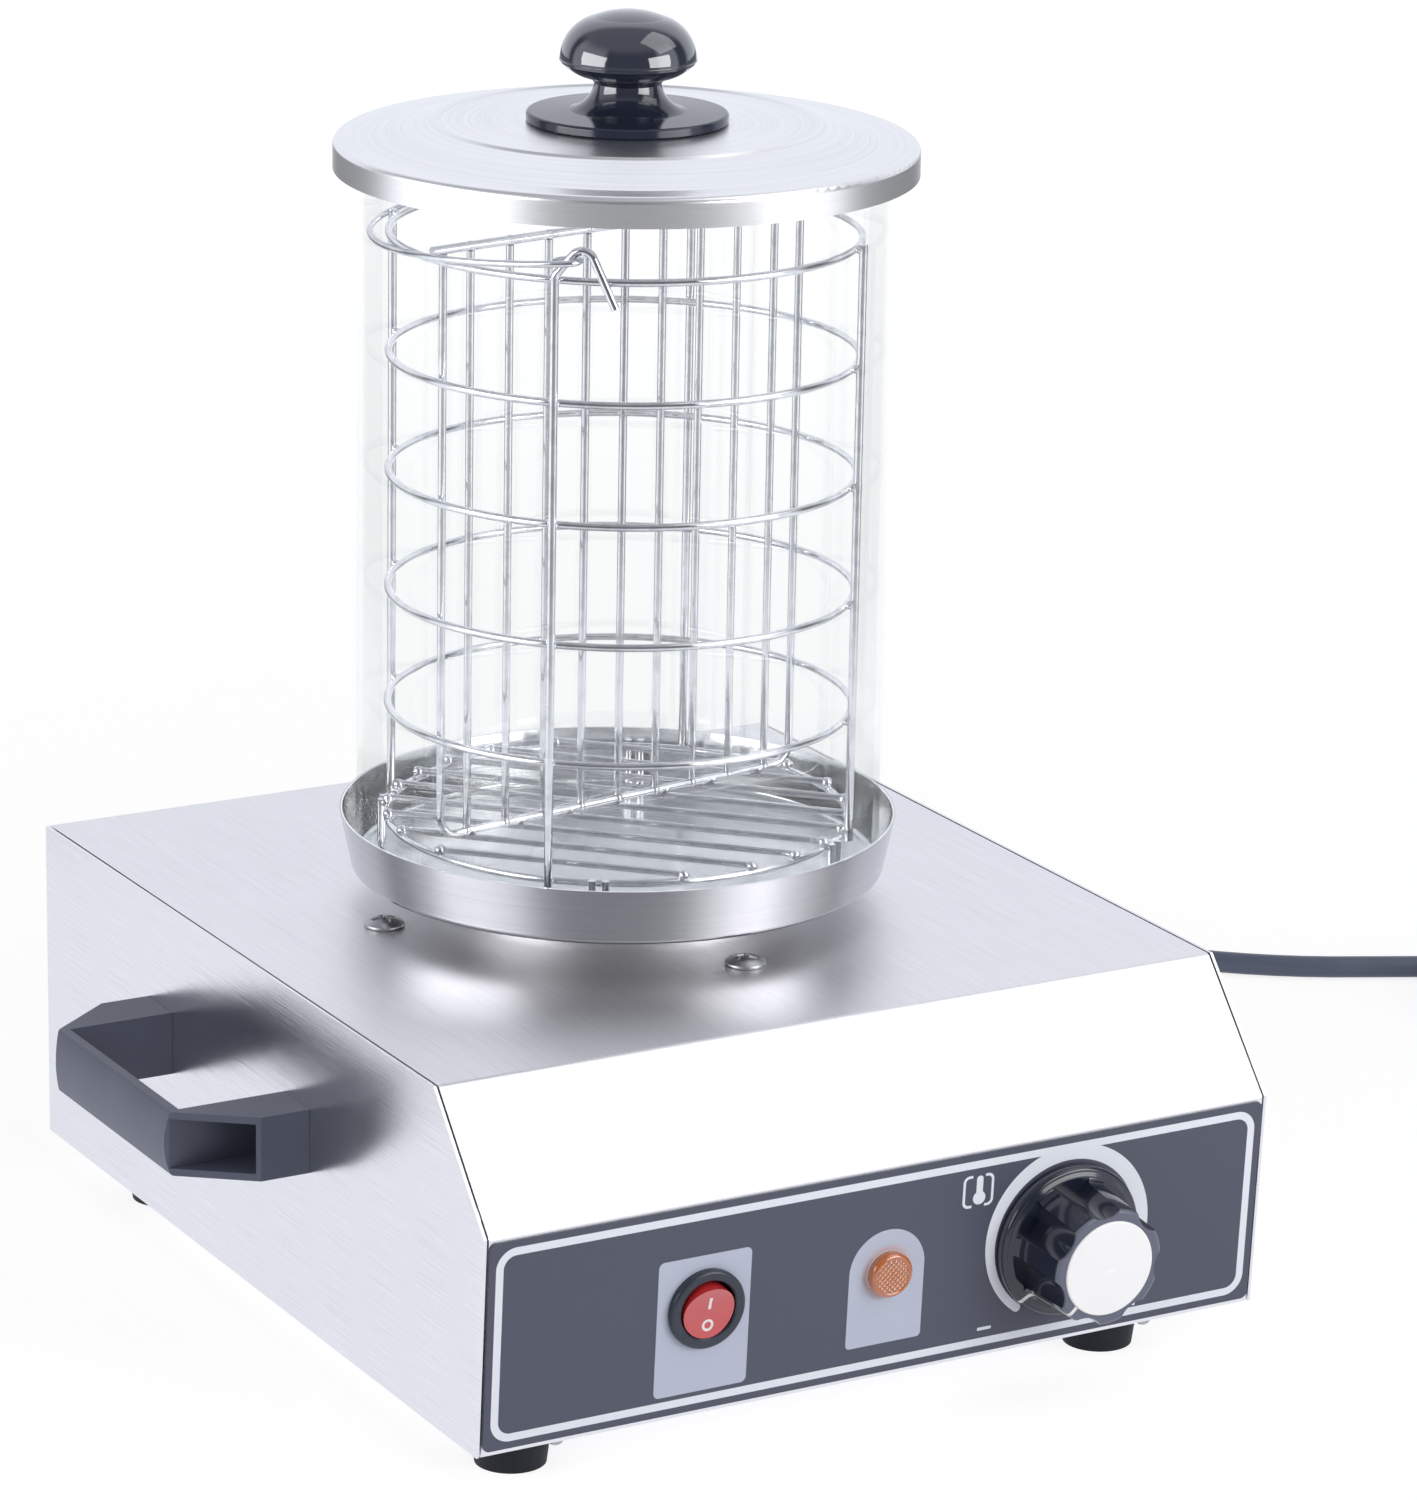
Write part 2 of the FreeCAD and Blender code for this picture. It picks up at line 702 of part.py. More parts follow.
# Carrying handles with a screw pocket in each sloping end
handle_half_gap = "HandleLength/2 - HandleLeg"
handle_outline = [
    ("0", "- HandleLength/2"),
    ("HandleShoulder", "- HandleLength/2"),
    ("HandleReach", minus(handle_half_gap)),
    ("HandleReach", handle_half_gap),
    ("HandleShoulder", "HandleLength/2"),
    ("0", "HandleLength/2"),
    ("0", handle_half_gap),
    ("HandleReach - HandleGrip", handle_half_gap),
    ("HandleReach - HandleGrip", minus(handle_half_gap)),
    ("0", minus(handle_half_gap)),
]


def handle(label):
    body = plate(label, "XY_Plane", handle_outline, "HandleHeight", "- HandleHeight/2")
    grip_side = "HandleReach - HandleCrown"
    beyond = "HandleReach + SheetWall"
    crown_sketch = sketch_in(body, label + "_crown_outline", "XZ_Plane")
    draw(crown_sketch, [
        (grip_side, "HandleHeight/2", "HandleHeight*HandleHeight/8/HandleCrown + HandleCrown/2", "right"),
        (grip_side, "- HandleHeight/2"),
        (beyond, "- HandleHeight/2"),
        (beyond, "HandleHeight/2"),
    ])
    crown = body.newObject("PartDesign::Pocket", label + "_crown")
    crown.Profile = crown_sketch
    crown.SideType = "Symmetric"
    bind(crown, "Length", "2*HandleLength")
    half = amount("HandleHeight/2")
    grip = amount(grip_side)

    def grip_edge(edge):
        middle = edge.CenterOfMass
        return abs(middle.x - grip) < 0.01 and abs(abs(middle.z) - half) < 0.01

    rounded(body, label + "_rounds", "HandleRound", grip_edge)
    pocket_sketch = sketch_in(body, label + "_pocket_outline", "YZ_Plane", "HandleReach + SheetWall")
    for side in (-1, 1):
        inner = handle_half_gap + " + PocketSide"
        outer = "HandleLength/2 - PocketSide"
        if side < 0:
            inner, outer = minus(outer), minus(inner)
        edges = box_corners(inner, outer, "- HandleHeight/2 + PocketWall", "HandleHeight/2 - PocketWall")
        draw(pocket_sketch, edges)
    pocket = body.newObject("PartDesign::Pocket", label + "_pockets")
    pocket.Profile = pocket_sketch
    bind(pocket, "Length", "HandleReach + SheetWall - PocketFloor")
    hole_sketch = sketch_in(body, label + "_hole_outline", "YZ_Plane", "HandleReach + SheetWall")
    draw_circle(hole_sketch, handle_spread, "0", "HandleScrewShank + 0.1")
    draw_circle(hole_sketch, minus(handle_spread), "0", "HandleScrewShank + 0.1")
    hole = body.newObject("PartDesign::Pocket", label + "_holes")
    hole.Profile = hole_sketch
    bind(hole, "Length", "HandleReach + 3*SheetWall")
    return body


handle_y = "HousingCentre + HandleCentre"
handle_z = BASE + " + HandleLift"
left_x = "- HousingWidth/2 - SeatGap"
right_x = "HousingWidth/2 + SeatGap"
keep("left_handle", put(handle("left_handle"), left_x, handle_y, handle_z, Vector(0, 0, 1), 180))
keep("right_handle", put(handle("right_handle"), right_x, handle_y, handle_z))
handle_fixings = []
for side, start in (("left", "- HousingWidth/2"), ("right", "HousingWidth/2")):
    sign = "-" if side == "left" else "+"
    inward = "+" if side == "left" else "-"
    turn = -90 if side == "left" else 90
    for end, spread in (("front", minus(handle_spread)), ("rear", "+ " + handle_spread)):
        name = f"handle_screw_{side}_{end}"
        y = f"{handle_y} {spread}"
        piece = screw(name, "HandleScrewHead", "HandleScrewHeadHeight", "HandleScrewShank",
                      "HandleScrewLength")
        x = f"{start} {sign} PocketFloor {sign} 2*SeatGap"
        handle_fixings.append(put(piece, x, y, handle_z, Vector(0, 1, 0), turn))
        ring = nut(name + "_nut", "HandleScrewHead", "4*SheetWall", "HandleScrewShank + 0.05")
        x = f"{start} {inward} SheetWall {inward} SeatGap"
        handle_fixings.append(put(ring, x, y, handle_z, Vector(0, 1, 0), -turn))
keep("handle_fixings", compound("handle_fixings", handle_fixings))

# Collar between housing and pan
collar = turned("pan_collar", [
    (COLLAR_RADIUS + " - CollarLip", "0"),
    (COLLAR_RADIUS, "0"),
    (COLLAR_RADIUS, "0.4*CollarHeight", "9.0", "left"),
    (COLLAR_TOP_RADIUS, "CollarHeight"),
    (COLLAR_RADIUS + " - CollarLip", "CollarHeight"),
    (COLLAR_RADIUS + " - CollarLip", "CollarHeight - CollarWall"),
    (COLLAR_RADIUS + " - CollarWall", "CollarHeight - CollarWall"),
    (COLLAR_RADIUS + " - CollarWall", "CollarWall"),
    (COLLAR_RADIUS + " - CollarLip", "CollarWall"),
])
keep("pan_collar", put(collar, "0", AXIS_Y, PLATE_TOP))

# Water pan
pan = turned("water_pan", [
    ("0", "SeatGap"),
    (PAN_FLOOR_RADIUS + " - PanCorner", "SeatGap", "1.04*PanCorner", "left"),
    (PAN_FLOOR_RADIUS + " + 0.02*PanCorner", "PanCorner"),
    (PAN_RIM_RADIUS, "PanHeight"),
    (PAN_RIM_RADIUS + " - PanWall", "PanHeight"),
    (PAN_FLOOR_RADIUS + " - PanWall", "PanCorner", "1.04*PanCorner - PanWall", "right"),
    (PAN_FLOOR_RADIUS + " - PanCorner", "PanWall + SeatGap"),
    ("0", "PanWall + SeatGap"),
])
keep("water_pan", put(pan, "0", AXIS_Y, PAN_UNDER))

# Screws and nuts that hold the heater dish under the top
pan_fixings = []
for number, (x, y) in enumerate(PAN_SCREW_SPOTS):
    name = f"pan_screw_{number}"
    piece = screw(name, "PanScrewHead", "PanScrewHeadHeight", "PanScrewShank", "9*SheetWall")
    pan_fixings.append(put(piece, x, y, PLATE_TOP + " + SeatGap"))
    ring = nut(f"pan_nut_{number}", "PanScrewHead*0.8", "3.2*SheetWall", "PanScrewShank + 0.05")
    pan_fixings.append(put(ring, x, y, PLATE_UNDER + " - DishWall - 2*SeatGap - 3.2*SheetWall"))
keep("pan_fixings", compound("pan_fixings", pan_fixings))

# Heater dish, insulation and heater plate, all below the pan
dish = turned("dish_sheet", [
    ("0", "- DishDepth - DishWall"),
    (DISH_RADIUS + " + DishWall", "- DishDepth - DishWall"),
    (DISH_RADIUS + " + DishWall", "- DishWall"),
    (DISH_FLANGE, "- DishWall"),
    (DISH_FLANGE, "0"),
    (DISH_RADIUS, "0"),
    (DISH_RADIUS, "- DishDepth"),
    ("0", "- DishDepth"),
])
put(dish, "0", AXIS_Y, PLATE_UNDER + " - SeatGap")
dish_tools = []
for number, (x, y) in enumerate(PAN_SCREW_SPOTS):
    z = PLATE_UNDER + " - 4*SheetWall"
    dish_tools.append(drill(f"dish_hole_{number}", "PanScrewShank + 0.3", x, y, z, "8*SheetWall"))
for number, sign in enumerate(("-", "+")):
    z = PLATE_UNDER + " - DishDepth - 4*SheetWall"
    x = f"{sign} TerminalSpread/2"
    hole = drill(f"dish_terminal_hole_{number}", "TerminalRadius + 0.2", x, AXIS_Y, z, "8*SheetWall")
    dish_tools.append(hole)
keep("heater_dish", cut("heater_dish", dish, dish_tools))

heater_top = PAN_UNDER + " - SeatGap"
insulation = cylinder("insulation_disc", "HeaterRadius",
                      "DishDepth + SheetWall + CollarHeight - HeaterThickness - 4*SeatGap")
put(insulation, "0", AXIS_Y, PLATE_UNDER + " - DishDepth")
pad_tools = []
for number, sign in enumerate(("-", "+")):
    x = f"{sign} TerminalSpread/2"
    z = PLATE_UNDER + " - 2*DishDepth"
    pad_tools.append(drill(f"pad_hole_{number}", "TerminalRadius + 0.2", x, AXIS_Y, z, "4*DishDepth"))
keep("heater_insulation", cut("heater_insulation", insulation, pad_tools))
heater = cylinder("heater_plate", "HeaterRadius", "HeaterThickness")
keep("heater_plate", put(heater, "0", AXIS_Y, heater_top + " - HeaterThickness"))
terminals = []
for number, sign in enumerate(("-", "+")):
    pin = cylinder(f"heater_pin_{number}", "TerminalRadius",
                   "DishDepth + DishWall + SheetWall + CollarHeight - HeaterThickness"
                   " + TerminalDrop - 2*SeatGap")
    z = PLATE_UNDER + " - DishDepth - DishWall - TerminalDrop"
    terminals.append(put(pin, f"{sign} TerminalSpread/2", AXIS_Y, z))
keep("heater_terminals", compound("heater_terminals", terminals))
cutout = turned("thermal_cutout", [
    ("0", "- CutoutHeight"),
    ("CutoutRadius*0.8", "- CutoutHeight"),
    ("CutoutRadius*0.8", "- CutoutHeight*0.3"),
    ("CutoutRadius", "- CutoutHeight*0.3"),
    ("CutoutRadius", "0"),
    ("0", "0"),
])
cutout_height = PLATE_UNDER + " - DishDepth - DishWall - 2*SeatGap"
keep("thermal_cutout", put(cutout, "0", AXIS_Y + " + TerminalSpread", cutout_height))

# Clear cylinder standing in the pan
glass = turned("glass_cylinder", [
    ("GlassRadius - GlassWall", "0"),
    ("GlassRadius", "0"),
    ("GlassRadius", GLASS_HEIGHT),
    ("GlassRadius - GlassWall", GLASS_HEIGHT),
])
keep("glass_cylinder", put(glass, "0", AXIS_Y, GLASS_BASE))

# Lid with a pressed bead, its knob and the knob's screw
crown = "LidSkirt + LidRise"
lid = turned("lid_disc", [
    ("KnobBore + 0.4", f"{crown} - LidWall"),
    ("LidBeadRadius - 2.0", f"{crown} - LidWall"),
    (LID_FLAT, "LidSkirt - LidWall"),
    (LID_RADIUS + " - LidCorner", "LidSkirt - LidWall", "LidCorner - LidWall", "right"),
    (LID_RADIUS + " - LidWall", "LidSkirt - LidCorner"),
    (LID_RADIUS + " - LidWall", "0"),
    (LID_RADIUS, "0"),
    (LID_RADIUS, "LidSkirt - LidCorner", "LidCorner", "left"),
    (LID_RADIUS + " - LidCorner", "LidSkirt"),
    (LID_FLAT, "LidSkirt"),
    ("LidBeadRadius + 1.6", f"{crown} - 0.2"),
    ("LidBeadRadius + 0.6", f"{crown} - 0.2 + LidBeadHeight"),
    ("LidBeadRadius - 0.6", f"{crown} - 0.2 + LidBeadHeight"),
    ("LidBeadRadius - 1.6", crown),
    ("KnobBore + 0.4", crown),
])
keep("lid_disc", put(lid, "0", AXIS_Y, LID_BASE))

ball = "KnobBallRadius"
lid_knob = turned("lid_knob", [
    ("KnobBore", "0"),
    ("KnobFlangeRadius - 0.6", "0"),
    ("KnobFlangeRadius", "0.6"),
    ("KnobFlangeRadius", "KnobFlangeHeight - 1.0", "1.0", "left"),
    ("KnobFlangeRadius - 1.0", "KnobFlangeHeight"),
    ("KnobNeckRadius + 8.0", "KnobFlangeHeight + 0.5", "10.0", "right"),
    ("KnobNeckRadius", "KnobNeckHeight", "5.0", "right"),
    ("KnobNeckRadius + 3.4", "KnobNeckHeight + 2.2", "14.0", "left"),
    (f"{ball} - 0.5", "KnobSeamHeight - 0.4"),
    (f"{ball} - 0.5", "KnobSeamHeight + 0.4"),
    (ball, "KnobSeamHeight + 0.4"),
    (ball, "KnobSeamHeight + 1.6", f"{ball} - 8.0", "left"),
    (f"{ball} - 10.6", "KnobHeight - 2.2", "30.0", "left"),
    ("0.8", "KnobHeight"),
    ("0", "KnobHeight"),
    ("0", "KnobNeckHeight + 4.0"),
    ("KnobBore", "KnobNeckHeight + 4.0"),
])
keep("lid_knob", put(lid_knob, "0", AXIS_Y, LID_CROWN + " + SeatGap"))
knob_screw = turned("lid_knob_screw", [
    ("0", "- LidWall - 5.0"),
    ("5.0", "- LidWall - 5.0"),
    ("5.0", "- LidWall - 1.5"),
    ("10.0", "- LidWall - 1.5"),
    ("10.0", "- LidWall - 0.05"),
    ("KnobBore - 0.05", "- LidWall - 0.05"),
    ("KnobBore - 0.05", "KnobNeckHeight + 2.0"),
    ("0", "KnobNeckHeight + 2.0"),
])
keep("lid_knob_screw", put(knob_screw, "0", AXIS_Y, LID_CROWN))

# Basket: rings inside four uprights
ring_heights = [f"{TOP_RING} - {number}*RingPitch" for number in range(5)] + [FLOOR_RING]
ring_labels = [f"basket_ring_{number}" for number in range(1, 6)] + ["basket_floor_ring"]
for label, height in zip(ring_labels, ring_heights):
    ring = doc.addObject("Part::Torus", label)
    bind(ring, "Radius1", BASKET_RADIUS)
    bind(ring, "Radius2", "RingWire")
    keep(label, put(ring, "0", AXIS_Y, height))

# Floor wires across the lowest ring
floor_wires = []
floor_count = int(0.9 * amount(BASKET_RADIUS) / SIZES["FloorPitch"])
for number in range(-floor_count, floor_count + 1):
    rod = doc.addObject("Part::Cylinder", f"floor_wire_{number + floor_count}")
    bind(rod, "Radius", "FloorWire")
    offset = f"{number} * Sizes.FloorPitch"
    half = f"sqrt(({formula(BASKET_RADIUS)}) ^ 2 - ({offset}) ^ 2)"
    rod.setExpression("Height", f"2 * {half}")
    floor_turn = Rotation(Vector(0, 0, 1), SIZES["FloorAngle"])
    rod.Placement = Placement(Vector(), floor_turn * Rotation(Vector(0, 1, 0), 90))
    angle = "(Sizes.FloorAngle * 1 deg)"
    rod.setExpression("Placement.Base.x", f"-cos{angle} * {half} - sin{angle} * {offset}")
    middle = "Sizes.HousingCentre + Sizes.PanCentre"
    rod.setExpression("Placement.Base.y", f"{middle} - sin{angle} * {half} + cos{angle} * {offset}")
    bind(rod, "Placement.Base.z", FLOOR_RING + " + RingWire + FloorWire + SeatGap")
    floor_wires.append(rod)
keep("basket_floor_wires", compound("basket_floor_wires", floor_wires))

# Everything bent from wire is placed round the basket's own axis
axis_point = Vector(0, amount(AXIS_Y), 0)


def around(angle, radius, across, height):
    """A point at this angle, out from the axis, shifted to the right seen from outside at the front."""
    turn = math.radians(angle)
    out = Vector(math.cos(turn), math.sin(turn), 0)
    side = Vector(-math.sin(turn), math.cos(turn), 0)
    return axis_point + out * radius + side * across + Vector(0, 0, height)


# Little wire feet under the basket
pan_floor = amount(PAN_FLOOR) + SIZES["SeatGap"]
feet = []
foot_ring = amount(BASKET_RADIUS + " + RingWire + BasketFootRadius + SeatGap")
floor_ring = amount(FLOOR_RING)
for number, angle in enumerate((-123.0, 145.0, -55.0, 57.0)):
    spread = math.degrees(2.2 / foot_ring)
    low = pan_floor + 0.1 + SIZES["BasketFootRadius"]
    high = floor_ring + 1.6
    hairpin = [around(angle - spread, foot_ring, 0, high), around(angle - spread, foot_ring, 0, low)]
    hairpin += [around(angle + spread, foot_ring, 0, low), around(angle + spread, foot_ring, 0, high)]
    feet.append(as_feature(f"basket_foot_{number}", wire_shape(hairpin, 2.1, SIZES["BasketFootRadius"])))
keep("basket_feet", compound("basket_feet", feet))

# Uprights: plain ones left and right, hooked ones in front and behind
top_ring = amount(TOP_RING)
upright_low = floor_ring - 1.6
upright_out = amount(UPRIGHT_RADIUS)
for label, angle in (("upright_left", 135.0), ("upright_right", -45.0)):
    rod = cylinder(label, "UprightWire", "BasketHeight + 3.2")
    out = f"({formula(UPRIGHT_RADIUS)})"
    rod.setExpression("Placement.Base.x", f"cos({angle} deg) * {out}")
    rod.setExpression("Placement.Base.y", f"{formula(AXIS_Y)} + sin({angle} deg) * {out}")
    bind(rod, "Placement.Base.z", FLOOR_RING + " - 1.6")
    keep(label, rod)

hinge_height = top_ring + SIZES["BailHeight"]
lean = math.radians(SIZES["CrookLean"])
eye_out = amount(BAIL_RADIUS + " - BailEye")
start_height = hinge_height - SIZES["BailOffset"] / math.tan(lean)
corner_across = SIZES["BailOffset"] + SIZES["CrookRise"] * math.sin(lean)
corner_height = hinge_height + SIZES["CrookRise"] * math.cos(lean)
for label, angle, side in (("upright_front", -135.0, 1.0), ("upright_back", 45.0, -1.0)):
    crook = [
        around(angle, upright_out, 0, upright_low),
        around(angle, upright_out, 0, start_height),
        around(angle, eye_out - 0.5, side * corner_across, corner_height),
        around(angle, eye_out + 0.3, side * SIZES["TailAcross"], top_ring - SIZES["TailDrop"]),
    ]
    upright = wire_shape(crook, [SIZES["CrookBend"], SIZES["CrookBend"]], SIZES["UprightWire"])
    keep(label, as_feature(label, upright))

# Divider: a bent frame, a top bar across the top ring and upright wires between
divider_turn = Rotation(Vector(0, 0, 1), SIZES["DividerAngle"])


def on_divider(along, height):
    return axis_point + divider_turn.multVec(Vector(along, 0, 0)) + Vector(0, 0, height)


floor_top = amount(FLOOR_RING + " + RingWire + 2*FloorWire + 2*SeatGap")
frame_low = floor_top + SIZES["DividerWire"]
bar_height = top_ring + amount("RingWire + TopBarWire + SeatGap")
frame_high = bar_height - amount("TopBarWire + SeatGap")
half = amount(DIVIDER_HALF)
frame = [on_divider(-half, frame_high), on_divider(-half, frame_low)]
frame += [on_divider(half, frame_low), on_divider(half, frame_high)]
divider_frame = wire_shape(frame, SIZES["DividerCorner"], SIZES["DividerWire"])
keep("divider_frame", as_feature("divider_frame", divider_frame))

bar = cylinder("divider_top_bar", "TopBarWire", f"{TOP_BAR_HALF} + {TOP_BAR_HALF}")
bar_turn = divider_turn * Rotation(Vector(0, 1, 0), 90)
bar.Placement = Placement(on_divider(-amount(TOP_BAR_HALF), bar_height), bar_turn)
keep("divider_top_bar", bar)

divider_wires = []
divider_count = int((half - SIZES["DividerCorner"]) / SIZES["DividerPitch"])
for number in range(-divider_count, divider_count + 1):
    rod = doc.addObject("Part::Cylinder", f"divider_wire_{number + divider_count}")
    bind(rod, "Radius", "DividerWire")
    rod.Height = frame_high - frame_low - SIZES["DividerWire"] - SIZES["SeatGap"]
    low = frame_low + SIZES["DividerWire"] + SIZES["SeatGap"]
    rod.Placement = Placement(on_divider(number * SIZES["DividerPitch"], low), Rotation())
    divider_wires.append(rod)
keep("divider_wires", compound("divider_wires", divider_wires))

# Swinging handle: a half circle of wire with an eye at each end, hanging a little below level
bail_turn = Rotation(Vector(0, 0, 1), 45.0)
droop = Rotation(bail_turn.multVec(Vector(1, 0, 0)), -SIZES["BailDroop"])
right_way = Vector(math.cos(math.radians(-45.0)), math.sin(math.radians(-45.0)), 0)
hinge_point = axis_point + right_way * SIZES["BailOffset"] + Vector(0, 0, hinge_height)


def on_bail(along, away):
    """A point in the plane of the swinging handle, measured from the middle of its hinge line."""
    flat = bail_turn.multVec(Vector(along, away, 0))
    return hinge_point + droop.multVec(flat)


reach = amount(BAIL_RADIUS)
eye = SIZES["BailEye"]
shift = SIZES["BailOffset"]


def eye_point(side, angle):
    turn = math.radians(angle)
    return on_bail(side * (reach - eye + eye * math.cos(turn)), eye * math.sin(turn))


eye_sweep = 292.0
bail_edges = [
    Part.Arc(eye_point(-1, -eye_sweep), eye_point(-1, -eye_sweep * 0.75),
             eye_point(-1, -eye_sweep / 2)).toShape(),
    Part.Arc(eye_point(-1, -eye_sweep / 2), eye_point(-1, -eye_sweep / 4), eye_point(-1, 0)).toShape(),
    Part.LineSegment(on_bail(-reach, 0), on_bail(-reach, shift)).toShape(),
    Part.Arc(on_bail(-reach, shift), on_bail(-reach * math.sqrt(0.5), shift + reach * math.sqrt(0.5)),
             on_bail(0, shift + reach)).toShape(),
    Part.Arc(on_bail(0, shift + reach), on_bail(reach * math.sqrt(0.5), shift + reach * math.sqrt(0.5)),
             on_bail(reach, shift)).toShape(),
    Part.LineSegment(on_bail(reach, shift), on_bail(reach, 0)).toShape(),
    Part.Arc(eye_point(1, 0), eye_point(1, -eye_sweep / 4), eye_point(1, -eye_sweep / 2)).toShape(),
    Part.Arc(eye_point(1, -eye_sweep / 2), eye_point(1, -eye_sweep * 0.75),
             eye_point(1, -eye_sweep)).toShape(),
]
keep("bail_handle", as_feature("bail_handle", tube(bail_edges, SIZES["BailWire"])))
print("bail hinge at", hinge_point, "along", bail_turn.multVec(Vector(1, 0, 0)))

# Printed front overlay with its holes
overlay_half = "HousingWidth/2 - OverlayInset"
overlay_top = "FrontHeight - OverlayTopInset"
overlay = plate("front_overlay", "XY_Plane", [
    (f"{minus(overlay_half)} + OverlayCorner", "OverlayBottom"),
    (f"{overlay_half} - OverlayCorner", "OverlayBottom", "OverlayCorner", "left"),
    (overlay_half, "OverlayBottom + OverlayCorner"),
    (overlay_half, f"{overlay_top} - OverlayCorner", "OverlayCorner", "left"),
    (f"{overlay_half} - OverlayCorner", overlay_top),
    (f"{minus(overlay_half)} + OverlayCorner", overlay_top, "OverlayCorner", "left"),
    (minus(overlay_half), f"{overlay_top} - OverlayCorner"),
    (minus(overlay_half), "OverlayBottom + OverlayCorner", "OverlayCorner", "left"),
], "OverlayWall", None, [
    ("SwitchAcross", PANEL_MIDDLE, "SwitchBarrel + 0.15"),
    ("LampAcross", PANEL_MIDDLE, "LampBarrel + 0.15"),
    ("DialAcross", PANEL_MIDDLE, BUSHING_RADIUS + " + 0.15"),
])
keep("front_overlay", on_panel(overlay, "0", "0", "SeatGap"))
FACE = "OverlayWall + 2*SeatGap"

# Round rocker switch, built about its own axis and then laid on the panel
PIVOT_DEPTH = "1.0"
switch = turned("switch_shell", [
    ("0", "- SwitchDepth"),
    ("SwitchBarrel", "- SwitchDepth"),
    ("SwitchBarrel", "0"),
    (BEZEL_RADIUS, "0"),
    (BEZEL_RADIUS, "SwitchBezelHeight - 1.2", "1.2", "left"),
    (BEZEL_RADIUS + " - 1.2", "SwitchBezelHeight"),
    (SWITCH_BORE + " + 0.5", "SwitchBezelHeight"),
    (SWITCH_BORE, "SwitchBezelHeight - 0.5"),
    (SWITCH_BORE, "- 8.0"),
    ("0", "- 8.0"),
])
pin_hole = cylinder("switch_pin_hole", "RockerPin + 0.05", "2*SwitchBarrel - 0.8")
put(pin_hole, "- SwitchBarrel + 0.4", "0", "- " + PIVOT_DEPTH, Vector(0, 1, 0), 90)
switch_body = cut("switch_body", switch, [pin_hole])
keep("switch_body", on_panel(switch_body, "SwitchAcross", PANEL_MIDDLE, FACE))

# The rocker's own origin lies on its pins
rocker_round = cylinder("rocker_round", ROCKER_RADIUS, "14.0")
put(rocker_round, "0", "0", "- 7.0")
rocker_side = plate("rocker_side", "YZ_Plane", [
    (minus(ROCKER_RADIUS), "- 2.0"),
    (minus(ROCKER_RADIUS) + " + 3.6", "- 4.6"),
    (ROCKER_RADIUS + " - 3.6", "- 4.6"),
    (ROCKER_RADIUS, "- 2.0"),
    (ROCKER_RADIUS, "4.6", "30.0", "right"),
    ("0", "3.5", "30.0", "right"),
    (minus(ROCKER_RADIUS), "4.6"),
], f"{ROCKER_RADIUS} + {ROCKER_RADIUS} + 2.0", minus(ROCKER_RADIUS) + " - 1.0")
rocker_shape = doc.addObject("Part::Common", "rocker_shape")
rocker_shape.Base = rocker_round
rocker_shape.Tool = rocker_side
rocker_pin = cylinder("rocker_pin", "RockerPin", "2*SwitchBarrel - 1.6")
put(rocker_pin, "- SwitchBarrel + 0.8", "0", "0", Vector(0, 1, 0), 90)
rocker = doc.addObject("Part::Fuse", "switch_rocker")
rocker.Base = rocker_shape
rocker.Tool = rocker_pin
pivot_out = FACE + " - " + PIVOT_DEPTH
keep("switch_rocker", on_panel(rocker, "SwitchAcross", PANEL_MIDDLE, pivot_out, "RockerTilt"))

# Signal lamp
lamp = turned("lamp_body", [
    ("0", "- LampDepth"),
    ("LampBarrel - 1.5", "- LampDepth"),
    ("LampBarrel - 1.5", "- LampDepth*0.6"),
    ("LampBarrel", "- LampDepth*0.6"),
    ("LampBarrel", "0"),
    (LENS_RADIUS, "0"),
    (LENS_RADIUS, "0.8"),
    ("0", "0.8"),
])
keep("lamp_body", on_panel(lamp, "LampAcross", PANEL_MIDDLE, FACE))
lens = turned("lamp_lens", [
    ("0", "0"),
    (LENS_RADIUS, "0"),
    (LENS_RADIUS, "LampLensHeight - 2.4", "1.6", "left"),
    (LENS_RADIUS + " - 1.6", "LampLensHeight - 0.8"),
    ("0", "LampLensHeight - 0.8"),
])
keep("lamp_lens", on_panel(lens, "LampAcross", PANEL_MIDDLE, FACE + " + 0.8 + SeatGap"))

# Capillary thermostat behind the dial
half_box = "ThermostatWidth/2"
box_under = "- SheetWall - 3*SeatGap"
thermostat_box = plate("thermostat_box", "XY_Plane",
                       box_corners("- " + half_box, half_box, "- " + half_box, half_box),
                       "ThermostatDepth", box_under + " - ThermostatDepth")
bushing = cylinder("thermostat_bushing", BUSHING_RADIUS, "SheetWall + OverlayWall + 1.0")
put(bushing, "0", "0", box_under + " - 0.5")
thermostat_solid = doc.addObject("Part::Fuse", "thermostat_solid")
thermostat_solid.Base = thermostat_box
thermostat_solid.Tool = bushing
shaft_bore = cylinder("thermostat_bore", "ShaftRadius + 0.05", "ThermostatDepth")
put(shaft_bore, "0", "0", "- 0.7*ThermostatDepth")
thermostat = cut("thermostat_body", thermostat_solid, [shaft_bore])
keep("thermostat_body", on_panel(thermostat, "DialAcross", PANEL_MIDDLE))
shaft = cylinder("thermostat_shaft", "ShaftRadius", "0.7*ThermostatDepth + DialHeight - CapHeight - 5.0")
keep("thermostat_shaft", on_panel(shaft, "DialAcross", PANEL_MIDDLE, "- 0.7*ThermostatDepth + 0.2"))

